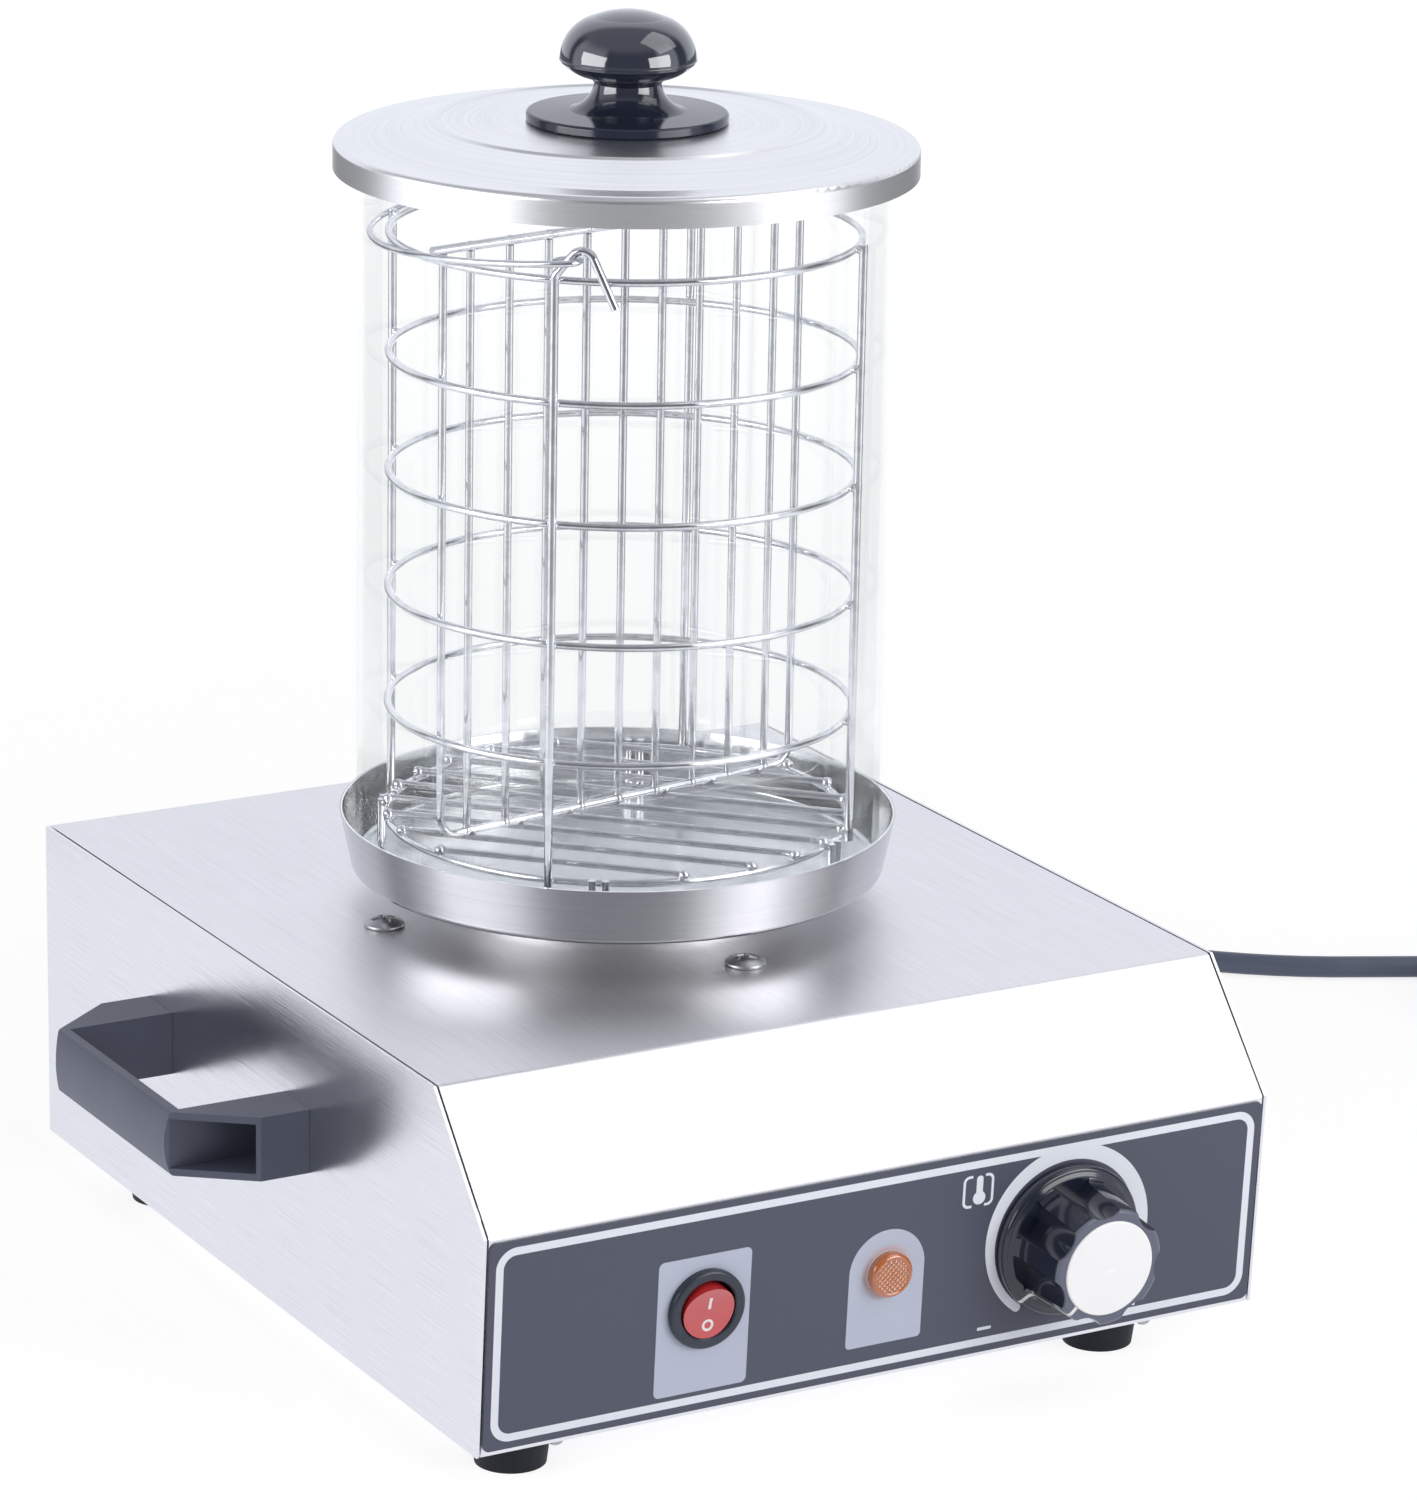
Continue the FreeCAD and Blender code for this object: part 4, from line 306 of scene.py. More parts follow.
def pan_screws():
    """Head, shank and six-sided nut at four places on the screw circle."""
    shank = turned([(SCREW_SHANK, 0.0), (SCREW_SHANK, -SCREW_LENGTH), (0.0, -SCREW_LENGTH)], SHANK_STEPS)
    nut_high = NUT_LOW + NUT_HEIGHT
    nut = turned([(SCREW_SHANK, NUT_LOW), (NUT_RADIUS, NUT_LOW), (NUT_RADIUS, nut_high),
                  (SCREW_SHANK, nut_high)], NUT_SIDES)
    grids = []
    for number, turn in enumerate(CROSS_TURNS):
        place = about_pan(SCREW_CIRCLE, number * math.pi / 2, PLATE_TOP)
        head = screw_head(math.radians(turn))
        grids += [grid + place for grid in (head, shank, nut)]
    return grids


pan_screw_piece = make_piece("pan_screws", pan_screws(), "housing")
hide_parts("pan_fixings")

# %% [markdown]
# The lamp's lens is amber plastic whose flat face is cut into small pyramids that scatter the light. The
# pyramids are part of the surface here, not a bump, so that they also stand in the exported mesh.

# %% Front panel frame and lamp lens
HOUSING_CENTRE_Y = 13.04
HOUSING_DEPTH = 327.0
FRONT_HEIGHT = 72.6
FRONT_SETBACK = 4.1
FOOT_HEIGHT = 10.5
PANEL_TILT = math.atan2(FRONT_SETBACK, FRONT_HEIGHT)
PANEL_MIDDLE = FRONT_HEIGHT / 2
OVERLAY_FACE = 0.6


def panel_place(across, up, out):
    """A place on the leaning front, from its middle across, its foot up and its face outwards."""
    across, up, out = np.broadcast_arrays(across, up, out)
    lean = (FRONT_HEIGHT - up) * math.tan(PANEL_TILT)
    y = HOUSING_CENTRE_Y - HOUSING_DEPTH / 2 + lean - out * math.cos(PANEL_TILT)
    z = FOOT_HEIGHT + up - out * math.sin(PANEL_TILT)
    return np.stack([across, y, z], axis=-1)


LAMP_ACROSS = 1.2
LENS_BASE = OVERLAY_FACE + 0.85
LENS_RADIUS = 7.6
LENS_RIM_START = 1.6
LENS_ROUND = 1.6
LENS_FACE_RADIUS = 5.7
LENS_FACE = 2.5
PYRAMID_PITCH = 1.9
PYRAMID_HEIGHT = 0.6
LENS_SIDE = 0.4
LENS_EDGE_RINGS = 9
LENS_FACE_RINGS = 64
LENS_STEPS = 144


def lamp_lens():
    """Rings from the back's middle out, round the rim, over its rounded edge and across the cut face.
    The face's height is the least of two saw-tooth waves turned by 45 degrees: square pyramids."""
    edge = np.linspace(0, math.pi / 2, LENS_EDGE_RINGS)
    rim_radius = LENS_RADIUS - LENS_ROUND + LENS_ROUND * np.cos(edge)
    rim_height = LENS_RIM_START + LENS_ROUND * np.sin(edge)
    face_radius = np.linspace(LENS_FACE_RADIUS, 0, LENS_FACE_RINGS)
    face_height = np.full(LENS_FACE_RINGS, LENS_FACE)
    radius = np.concatenate([[0, LENS_RADIUS, LENS_RADIUS], rim_radius, face_radius])[:, None]
    level = np.concatenate([[0, 0, LENS_SIDE], rim_height, face_height])[:, None]
    angle = np.linspace(0, 2 * math.pi, LENS_STEPS, endpoint=False)[None, :]
    x, y = radius * np.cos(angle), radius * np.sin(angle)
    wave_a = np.abs(np.mod((x + y) / PYRAMID_PITCH, 1.0) - 0.5)
    wave_b = np.abs(np.mod((x - y) / PYRAMID_PITCH, 1.0) - 0.5)
    on_face = np.zeros_like(level)
    on_face[1 - LENS_FACE_RINGS:] = 1.0
    height = level + on_face * PYRAMID_HEIGHT * 2 * np.minimum(wave_a, wave_b)
    return panel_place(LAMP_ACROSS + x, PANEL_MIDDLE + y, LENS_BASE + height)


lens_piece = make_piece("lamp_lens_cut", [lamp_lens()], "housing")
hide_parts("lamp_lens")

# %% [markdown]
# Spot welds join the basket's wires. Each leaves a small bead where the wires cross. A bead is a flattened
# ball, and all the beads are one piece, made by adding the same little grid at every crossing.

# %% Weld beads
RING_RADIUS = 76.8
RING_WIRE = 1.25
RING_HEIGHTS = [345.7 - 39.5 * number for number in range(5)] + [148.5]
UPRIGHT_ANGLES = (135.0, -45.0, -135.0, 45.0)
DIVIDER_ANGLE = math.radians(9.0)
DIVIDER_PITCH = 15.6
DIVIDER_WIRES = range(-4, 5)
DIVIDER_TOP = 348.5
DIVIDER_FOOT = 153.5
FLOOR_WIRE_ANGLE = math.radians(-45.0)
FLOOR_WIRE_PITCH = 16.2
FLOOR_WIRES = range(-4, 5)
FLOOR_WIRE_HEIGHT = 150.6
CROSSING_BEAD = (1.75, 1.5)
DIVIDER_BEAD = (1.75, 1.75)
FLOOR_BEAD = (2.0, 1.9)


def bead(radius_across, radius_up):
    """A ball flattened along Z, as a profile of a half circle turned round Z."""
    half = np.linspace(-math.pi / 2, math.pi / 2, 7)
    profile = np.stack([radius_across * np.cos(half), radius_up * np.sin(half)], axis=1)
    return turned(profile, 10)


def weld_beads():
    """Beads where uprights cross rings, where the divider's wires meet its bars, and at floor wires' ends."""
    grids = []
    for angle in np.radians(UPRIGHT_ANGLES):
        for height in RING_HEIGHTS:
            grids.append(bead(*CROSSING_BEAD) + about_pan(RING_RADIUS + RING_WIRE, angle, height))
    for number in DIVIDER_WIRES:
        for height in (DIVIDER_TOP, DIVIDER_FOOT):
            grids.append(bead(*DIVIDER_BEAD) + about_pan(number * DIVIDER_PITCH, DIVIDER_ANGLE, height))
    for number in FLOOR_WIRES:
        aside = math.asin(number * FLOOR_WIRE_PITCH / RING_RADIUS)
        for angle in (FLOOR_WIRE_ANGLE + math.pi - aside, FLOOR_WIRE_ANGLE + aside):
            grids.append(bead(*FLOOR_BEAD) + about_pan(RING_RADIUS, angle, FLOOR_WIRE_HEIGHT))
    return grids


weld_bead_piece = make_piece("weld_beads", weld_beads(), "basket")

# %% [markdown]
# Materials are sums of node sockets. Wiring nodes one by one hides the idea, so one small class wraps a
# socket and lets Python's operators add the Math nodes.

# %% A socket that can be used in sums


class Value:
    """One socket of a node tree. Sums with it add Math nodes; node() adds any other node."""

    def __init__(self, tree, socket=None):
        self.tree = tree
        self.socket = socket

    def node(self, kind, settings=None, values=None, output=0):
        """Adds a node: its settings first, then the numbers or links of its sockets."""
        made = self.tree.nodes.new(kind)
        for name, setting in (settings or {}).items():
            if name == "stops":
                self.fill_ramp(made.color_ramp, setting)
            else:
                setattr(made, name, setting)
        for name, value in (values or {}).items():
            if isinstance(value, Value):
                self.tree.links.new(value.socket, made.inputs[name])
            else:
                made.inputs[name].default_value = value
        return Value(self.tree, made.outputs[output] if made.outputs else None)

    @staticmethod
    def fill_ramp(ramp, stops):
        """Sets a ramp's stops from pairs of place and grey level."""
        while len(ramp.elements) < len(stops):
            ramp.elements.new(1.0)
        for element, (place, level) in zip(ramp.elements, stops):
            element.position = place
            element.color = (level, level, level, 1.0)

    def math(self, operation, first, second=0.0):
        return self.node("ShaderNodeMath", {"operation": operation}, {0: first, 1: second})

    def __add__(self, other):
        return self.math("ADD", self, other)

    __radd__ = __add__

    def __mul__(self, other):
        return self.math("MULTIPLY", self, other)

    __rmul__ = __mul__

    def __sub__(self, other):
        return self.math("SUBTRACT", self, other)

    def __rsub__(self, other):
        return self.math("SUBTRACT", other, self)

    def __truediv__(self, other):
        return self.math("DIVIDE", self, other)

    def __rtruediv__(self, other):
        return self.math("DIVIDE", other, self)

    def __abs__(self):
        return self.math("ABSOLUTE", self)

    def root(self):
        return self.math("SQRT", self)

    def least(self, other):
        return self.math("MINIMUM", self, other)

    def most(self, other):
        return self.math("MAXIMUM", self, other)

    def fraction(self):
        return self.math("FRACT", self)

    def angle_from(self, other):
        return self.math("ARCTAN2", self, other)

    def rise(self, low, high):
        """Zero below low, one above high and a smooth step between."""
        settings = {"interpolation_type": "SMOOTHSTEP"}
        return self.node("ShaderNodeMapRange", settings, {"Value": self, "From Min": low, "From Max": high})

    def parts(self):
        """The three numbers of a vector."""
        return [self.node("ShaderNodeSeparateXYZ", None, {"Vector": self}, axis) for axis in range(3)]


def colour(red, green, blue):
    """A colour with full alpha."""
    return (red, green, blue, 1.0)


def grey(level):
    """A neutral colour."""
    return colour(level, level, level)


def mix_colour(factor, first, second):
    """The first colour where the factor is zero, the second where it is one."""
    return factor.node("ShaderNodeMix", {"data_type": "RGBA"}, {0: factor, 6: first, 7: second}, 2)


def tinted(factor, first, tint):
    """The first colour multiplied by a tint, by the factor's share."""
    settings = {"data_type": "RGBA", "blend_type": "MULTIPLY"}
    return first.node("ShaderNodeMix", settings, {0: factor, 6: first, 7: tint}, 2)


print("socket class ready")

# %% [markdown]
# Each finish is a short function that returns a material. Two helpers start a material and close it with
# one Principled shader, and others give places on the piece in millimetres, noise and bumps.

# %% Finish helpers


def start_finish(name):
    """An empty node material and a value to grow it from."""
    material = bpy.data.materials.new(name)
    material.use_nodes = True
    material.node_tree.nodes.clear()
    return material, Value(material.node_tree)


def close_finish(base, values):
    """One Principled shader with these sockets, joined to the output."""
    shader = base.node("ShaderNodeBsdfPrincipled", None, values)
    base.node("ShaderNodeOutputMaterial", None, {"Surface": shader})


def place_in_mm(base, centre=(0.0, 0.0, 0.0), turn=0.0):
    """Places in millimetres about a centre, turned back about X."""
    settings = {"vector_type": "TEXTURE"}
    values = {"Vector": base.node("ShaderNodeTexCoord", output="Object"), "Scale": (MM, MM, MM),
              "Location": tuple(float(number) * MM for number in centre), "Rotation": (turn, 0.0, 0.0)}
    return base.node("ShaderNodeMapping", settings, values)


def noise(vector, scale, detail=2.0):
    """Noise over a vector whose axes are stretched by the scale."""
    stretched = vector.node("ShaderNodeMapping", None, {"Vector": vector, "Scale": scale})
    return vector.node("ShaderNodeTexNoise", None, {"Vector": stretched, "Scale": 1.0, "Detail": detail})


def bump(height, strength, depth):
    """A bumped normal from a height, with the depth in metres."""
    return height.node("ShaderNodeBump", None, {"Strength": strength, "Distance": depth, "Height": height})


print("finish helpers ready")

# %% [markdown]
# The stage is a pale floor with soft boxes left, right and overhead, as in a small product studio. The
# floor is white to the eye, to gloss and through glass, but it still takes a share of real light, so the
# object keeps its shadow. Grey cards between the boxes give the round steel its dark and bright bands;
# here they are grey zones of the surroundings, and of the floor past the paper, that only gloss can see.

# %% Stage
FLOOR_HALF = 6.0
FLOOR_GLOW = 0.8
FLOOR_SHADE = 0.3
FLOOR_PLAIN = colour(0.85, 0.85, 0.86)
PAPER_NEAR = 0.55
PAPER_FAR = 0.95
FADE_NEAR = 0.4
FADE_FAR = 2.2
AMBIENT = colour(0.33, 0.33, 0.33 * 1.03)
CAMERA_BEARING = (math.sin(CAMERA_AZIMUTH), -math.cos(CAMERA_AZIMUTH), 0.0)
CAMERA_RIGHT = (math.cos(CAMERA_AZIMUTH), math.sin(CAMERA_AZIMUTH), 0.0)
SURROUND_ZONES = [(-180, 1.0), (-168, 1.0), (-155, 0.12), (-108, 0.12), (-100, 1.0), (-45, 1.0), (-36, 0.17),
                  (50, 0.17), (58, 1.0), (90, 1.0), (97, 0.12), (155, 0.12), (168, 1.0), (180, 1.0)]
CEILING = 0.45
CEILING_EDGE = (0.45, 0.75)
PAPER_BEHIND_EDGE = (-0.55, -0.35)
GLOSS_TINT = (0.92, 0.95, 1.03, 1.0)


def seen_rays(base):
    """One for rays from the eye, from gloss and through glass; zero for rays that only carry light."""
    names = ("Is Camera Ray", "Is Glossy Ray", "Is Transmission Ray")
    camera_ray, glossy_ray, glass_ray = [base.node("ShaderNodeLightPath", output=name) for name in names]
    return camera_ray.most(glossy_ray).most(glass_ray)


def mirrored_rays(base):
    """One for rays that a glossy surface has turned; zero straight from the eye or through glass alone."""
    return base.node("ShaderNodeLightPath", output="Glossy Depth").rise(0.0, 1.0)


def share_along(way, axis):
    """How far a direction or a place goes along an axis."""
    return way.node("ShaderNodeVectorMath", {"operation": "DOT_PRODUCT"}, {0: way, 1: axis}, "Value")


def zones_of(way):
    """The grey level of the zone that a direction or a place lies in, by its bearing from the camera's."""
    turn = share_along(way, CAMERA_RIGHT).angle_from(share_along(way, CAMERA_BEARING))
    bearing = turn / (2 * math.pi) + 0.5
    stops = [(degrees / 360 + 0.5, level) for degrees, level in SURROUND_ZONES]
    return way.node("ShaderNodeValToRGB", {"stops": stops}, {0: bearing})


def floor_finish():
    """Pale paper that glows to the eye and keeps a share of real light, so shadows stay."""
    material, base = start_finish("studio_floor")
    spot = base.node("ShaderNodeTexCoord", output="Object")
    distance = base.node("ShaderNodeVectorMath", {"operation": "LENGTH"}, {0: spot}, "Value")
    mirrored = mirrored_rays(base)
    beyond = distance.rise(PAPER_NEAR, PAPER_FAR) * mirrored
    paper = mix_colour(distance.rise(FADE_NEAR, FADE_FAR), grey(FLOOR_GLOW), grey(1.0))
    all_tones = mix_colour(beyond, paper, zones_of(spot))
    shown_tone = tinted(mirrored, all_tones, GLOSS_TINT)
    glow = base.node("ShaderNodeEmission", None, {"Color": shown_tone, "Strength": 1.0})
    shade = base.node("ShaderNodeBsdfDiffuse", None, {"Color": grey(FLOOR_SHADE)})
    shown = base.node("ShaderNodeAddShader", None, {0: glow, 1: shade})
    plain = base.node("ShaderNodeBsdfDiffuse", None, {"Color": FLOOR_PLAIN})
    both = base.node("ShaderNodeMixShader", None, {0: seen_rays(base), 1: plain, 2: shown})
    base.node("ShaderNodeOutputMaterial", None, {"Surface": both})
    return material


floor_mesh = bpy.data.meshes.new("studio_floor")
corners = [(-FLOOR_HALF, -FLOOR_HALF, 0), (FLOOR_HALF, -FLOOR_HALF, 0), (FLOOR_HALF, FLOOR_HALF, 0),
           (-FLOOR_HALF, FLOOR_HALF, 0)]
floor_mesh.from_pydata(corners, [], [(0, 1, 2, 3)])
floor_mesh.materials.append(floor_finish())
floor = bpy.data.objects.new("studio_floor", floor_mesh)
bpy.context.scene.collection.objects.link(floor)
print("floor", 2 * FLOOR_HALF, "m")

# %% Surroundings


def surroundings():
    """White to the eye. To gloss, zones of grey by bearing from the camera, a dark ceiling, and the white
    paper that sweeps up behind."""
    world = bpy.data.worlds.new("studio")
    bpy.context.scene.world = world
    world.use_nodes = True
    world.node_tree.nodes.clear()
    base = Value(world.node_tree)
    way = base.node("ShaderNodeTexCoord", output="Generated")
    room = mix_colour(way.parts()[2].rise(*CEILING_EDGE), zones_of(way), grey(CEILING))
    in_front = share_along(way, CAMERA_BEARING).rise(*PAPER_BEHIND_EDGE)
    gloss = tinted(1.0, mix_colour(in_front, grey(1.0), room), GLOSS_TINT)
    shown = mix_colour(mirrored_rays(base), grey(1.0), gloss)
    tint = mix_colour(seen_rays(base), AMBIENT, shown)
    light = base.node("ShaderNodeBackground", None, {"Color": tint, "Strength": 1.0})
    base.node("ShaderNodeOutputWorld", None, {"Surface": light})


surroundings()
print("surroundings set")

# %% Soft boxes
LAMP_TARGET = Vector((0.0, 0.0, 0.25))


def soft_box(name, bearing, height_angle, distance, width, height, radiance):
    """An area lamp whose power follows from its brightness: power is pi times area times radiance."""
    data = bpy.data.lights.new(name, "AREA")
    data.shape = "RECTANGLE"
    data.size = width
    data.size_y = height
    data.energy = math.pi * width * height * radiance
    lamp = bpy.data.objects.new(name, data)
    level = math.cos(math.radians(height_angle))
    turn = math.radians(bearing)
    flat = Vector(CAMERA_BEARING) * math.cos(turn) + Vector(CAMERA_RIGHT) * math.sin(turn)
    way = flat * level + Vector((0, 0, math.sin(math.radians(height_angle))))
    lamp.location = LAMP_TARGET + way * distance
    lamp.rotation_euler = way.to_track_quat("Z", "Y").to_euler()
    lamp.visible_camera = False
    bpy.context.scene.collection.objects.link(lamp)
    print("lamp", name, "watts", round(data.energy, 1))


soft_box("left_box", -62, 14, 1.7, 1.4, 0.75, 4.3)
soft_box("right_box", 57, 14, 1.7, 1.2, 0.75, 4.4)
soft_box("top_box", 83, 52, 1.9, 1.4, 1.4, 1.25)

# %% [markdown]
# The housing is folded stainless sheet, brushed from front to back. A picture of brush marks would need
# unwrapping; noise that is stretched a hundred times along the brushing direction gives the same lines at
# any distance and needs none. Roughness follows the lines, so reflections smear along them.

# %% Brushed sheet
STEEL = colour(0.84, 0.83, 0.85)
STEEL_WORN = colour(0.76, 0.75, 0.77)
LINE_EDGE = (0.35, 0.75)
LINE_ROUGH = 0.12
CLOUD_ROUGH = 0.05
CLOUD_SCALE = (0.018, 0.018, 0.018)


def brushed_sheet(name, stretch, rough_low):
    """Stretched noise as brush lines, in tone, roughness and a shallow bump, over faint clouds."""
    material, base = start_finish(name)
    place = place_in_mm(base)
    lines = noise(place, stretch, 3.0)
    clouds = noise(place, CLOUD_SCALE, 2.0)
    tone = mix_colour(lines.rise(*LINE_EDGE), STEEL, STEEL_WORN)
    rough = rough_low + LINE_ROUGH * lines + CLOUD_ROUGH * clouds
    close_finish(base, {"Base Color": tone, "Metallic": 1.0, "Roughness": rough,
                        "Normal": bump(lines, 0.3, 0.0001)})
    return material


ALONG_Y = (3.2, 0.03, 3.2)
ALONG_X = (0.03, 3.2, 3.2)
sheet_along_y = brushed_sheet("sheet_brushed_front_to_back", ALONG_Y, 0.29)
sheet_along_x = brushed_sheet("sheet_brushed_side_to_side", ALONG_X, 0.25)
sheet_sides = brushed_sheet("sheet_of_the_sides", ALONG_Y, 0.12)
print("brushed sheet", sheet_along_y.name, sheet_along_x.name, sheet_sides.name)

# %% [markdown]
# Lid, pan and collar are spun on a lathe, so their lines run round the axis. The noise reads the distance
# from the axis and the height instead of X and Y, and stays nearly the same all the way round.

# %% Spun steel
PAN_WALL_LOW = 133.7
PAN_WALL_RADIUS = 88.58
PAN_WALL_LEAN = 0.21
SPUN = colour(0.92, 0.92, 0.925)
SPUN_WORN = colour(0.82, 0.82, 0.825)
# painted shade: a darker tint for the pan's outer wall
PAN_OUTSIDE_PAINTED_SHADE = colour(0.66, 0.66, 0.68)
SPUN_LINES = 2.6
SPUN_DRIFT = 0.8


def spun_steel(name, rough_low, painted_shade=None):
    """Turned lines about the axis. Beyond the pan's leaning wall a darker tint may be multiplied in as
    painted shade.
    """
    material, base = start_finish(name)
    x, y, z = place_in_mm(base, (0.0, PAN_AXIS_Y, 0.0)).parts()
    radius = (x * x + y * y).root()
    values = {"X": radius * SPUN_LINES, "Y": z * SPUN_LINES, "Z": x / (radius + 1.0) * SPUN_DRIFT}
    lines = noise(base.node("ShaderNodeCombineXYZ", None, values), (1.0, 1.0, 1.0), 3.0)
    tone = mix_colour(lines.rise(*LINE_EDGE), SPUN, SPUN_WORN)
    if painted_shade:
        # painted shade: beyond the pan's wall the steel is multiplied by a darker tint
        beyond_wall = (radius - PAN_WALL_RADIUS - (z - PAN_WALL_LOW) * PAN_WALL_LEAN).rise(-0.2, 0.2)
        tone = tinted(beyond_wall, tone, painted_shade)
    close_finish(base, {"Base Color": tone, "Metallic": 1.0, "Roughness": rough_low + LINE_ROUGH * lines,
                        "Anisotropic": 0.3, "Normal": bump(lines, 0.16, 0.00005)})
    return material


spun_dull = spun_steel("spun_dull", 0.36)
spun_lid = spun_steel("spun_lid", 0.24)
spun_pan = spun_steel("spun_pan", 0.1, PAN_OUTSIDE_PAINTED_SHADE)
print("spun steel", spun_dull.name, spun_lid.name, spun_pan.name)

# %% [markdown]
# Wires and screws are polished, almost mirrors. A little noise in the roughness stands for handling.

# %% Polished and plain metals


def polished_metal(name, tint, rough, grain):
    """A metal whose roughness wanders over patches of the grain's size in millimetres."""
    material, base = start_finish(name)
    patches = noise(place_in_mm(base), (1 / grain, 1 / grain, 1 / grain), 3.0)
    darker = tuple(0.85 * level for level in tint)
    tone = mix_colour(patches.rise(0.4, 0.7), colour(*tint), colour(*darker))
    close_finish(base, {"Base Color": tone, "Metallic": 1.0, "Roughness": rough + 0.1 * patches})
    return material


FINISHES = {
    "steel_sheet": sheet_along_y,
    "steel_spun": spun_pan,
    "wire": polished_metal("bright_wire", (0.8, 0.8, 0.82), 0.03, 6.0),
    "screw_steel": polished_metal("screw_steel", (0.46, 0.46, 0.48), 0.36, 2.0),
    "heater_metal": polished_metal("cast_aluminium", (0.6, 0.6, 0.61), 0.45, 1.2),
    "shaft_metal": polished_metal("turned_shaft", (0.65, 0.65, 0.66), 0.25, 1.5),
    "sensor_copper": polished_metal("copper_tube", (0.75, 0.42, 0.28), 0.25, 4.0),
    "pin_metal": polished_metal("plug_pin_brass", (0.8, 0.68, 0.42), 0.18, 3.0),
}
print("metals", len(FINISHES))

# %% [markdown]
# Moulded plastics differ by gloss and grain. The knobs are polished and blue-black, the handles have a fine
# spark-eroded grain, feet and cord are rubber. One function covers them: colour, roughness, grain and coat.

# %% Plastics and rubber
PATCH_SCALE = (0.06, 0.06, 0.06)
GLOSS_WANDER = 0.08


def moulded(name, tint, rough, grain, depth, coat=0.0, specular=0.5):
    """A plastic: fine noise of the grain's size as a bump, and patches that vary colour and gloss."""
    material, base = start_finish(name)
    place = place_in_mm(base)
    fine = noise(place, (1 / grain, 1 / grain, 1 / grain), 2.0)
    patches = noise(place, PATCH_SCALE, 3.0)
    lighter = tuple(min(1.0, 1.12 * level + 0.002) for level in tint)
    tone = mix_colour(patches.rise(0.35, 0.7), colour(*tint), colour(*lighter))
    close_finish(base, {"Base Color": tone, "Roughness": rough + GLOSS_WANDER * patches, "Coat Weight": coat,
                        "Specular IOR Level": specular, "Coat Roughness": 0.04, "Coat IOR": 1.5,
                        "Normal": bump(fine, 0.35, depth)})
    return material


FINISHES.update({
    "gloss_black": moulded("bezel_black", (0.024, 0.030, 0.046), 0.24, 1.5, 0.000006),
    "cap_white": moulded("white_cap", (0.99, 0.99, 0.99), 0.22, 0.8, 0.00001),
    "matte_black": moulded("grained_handle", (0.074, 0.084, 0.122), 0.36, 0.45, 0.00003),
    "foot_rubber": moulded("foot_rubber", (0.016, 0.017, 0.023), 0.55, 0.7, 0.00005, specular=0.2),
    "lamp_shell": moulded("lamp_shell", (0.6, 0.6, 0.62), 0.35, 1.0, 0.00001),
    "thermostat_plastic": moulded("cream_plastic", (0.62, 0.58, 0.48), 0.45, 0.8, 0.00003),
    "ceramic": moulded("glazed_ceramic", (0.8, 0.78, 0.72), 0.25, 1.5, 0.00001, 0.3),
    "insulation_board": moulded("mineral_board", (0.66, 0.63, 0.54), 0.85, 0.6, 0.0002),
    "wire_sleeve": moulded("glass_sleeve", (0.7, 0.67, 0.58), 0.6, 0.5, 0.00006),
    "cord_rubber": moulded("cord_rubber", (0.086, 0.103, 0.150), 0.36, 1.2, 0.00003),
})
print("finishes", len(FINISHES))

# %% [markdown]
# The lid's knob is polished on the ball, where the soft boxes mirror as two bright windows, and plainer on
# the flange. The coat's weight follows the height. The mould's parting line is a fine raised ring.

# %% Lid knob
KNOB_COAT_LOW = 386.5
KNOB_COAT_HIGH = 397.0
SEAM_HEIGHT = 402.4
SEAM_RADIUS = 22.15
SEAM_WIRE = 0.3
SEAM_SIDES = 10
SEAM_STEPS = 120
KNOB_BLACK = colour(0.020, 0.025, 0.045)


def knob_plastic():
    """Blue-black plastic with a clear coat that comes in above the flange."""
    material, base = start_finish("knob_plastic")
    place = place_in_mm(base)
    patches = noise(place, PATCH_SCALE, 3.0)
    coat = place.parts()[2].rise(KNOB_COAT_LOW, KNOB_COAT_HIGH)
    close_finish(base, {"Base Color": KNOB_BLACK, "Roughness": 0.07 + 0.05 * patches,
                        "Coat Weight": coat, "Coat Roughness": 0.03, "Coat IOR": 1.8})
    return material


def knob_seam():
    """A thin ring: a small circle carried round the knob's axis."""
    around = np.linspace(0, 2 * math.pi, SEAM_SIDES, endpoint=False)
    radius = SEAM_RADIUS + SEAM_WIRE * np.cos(around)
    height = SEAM_HEIGHT + SEAM_WIRE * np.sin(around)
    return turned(np.stack([radius, height], axis=1), SEAM_STEPS) + np.array([0.0, PAN_AXIS_Y, 0.0])


knob_finish = knob_plastic()
seam_piece = make_piece("knob_seam", [knob_seam()], "lid", wrap_rows=True)

# %% [markdown]
# The cylinder is clear borosilicate with a thin wall, which hardly bends the view. It is mostly a plain
# see-through surface, so the wires behind it stay single and sharp, with a small share of real glass for
# its gloss. A shadow ray passes straight through, so the lamps reach what stands inside.

# %% Clear cylinder
SEE_THROUGH_SHARE = 0.9


def clear_cylinder():
    """A mix of glass and a transparent surface, with faint smears in the gloss."""
    material, base = start_finish("clear_cylinder")
    smears = noise(place_in_mm(base), (0.05, 0.05, 0.02), 2.0)
    glass = base.node("ShaderNodeBsdfPrincipled", None, {
        "Base Color": colour(0.995, 0.998, 1.0), "Roughness": 0.02 * smears.rise(0.5, 0.8),
        "Transmission Weight": 1.0, "IOR": 1.1})
    through = base.node("ShaderNodeBsdfTransparent", None, {"Color": colour(0.985, 0.99, 0.99)})
    shadow_ray = base.node("ShaderNodeLightPath", output="Is Shadow Ray")
    share = shadow_ray.most(SEE_THROUGH_SHARE)
    both = base.node("ShaderNodeMixShader", None, {0: share, 1: glass, 2: through})
    base.node("ShaderNodeOutputMaterial", None, {"Surface": both})
    return material


FINISHES["clear_glass"] = clear_cylinder()
print("clear cylinder done")

# %% [markdown]
# The front is a printed foil. Its shapes are plain: a border line, two pale plates, a gauge arc that grows
# along its way, a thermometer sign and marks for less and more. Each is a distance formula in millimetres
# on the leaning panel, so edges stay sharp at any size.

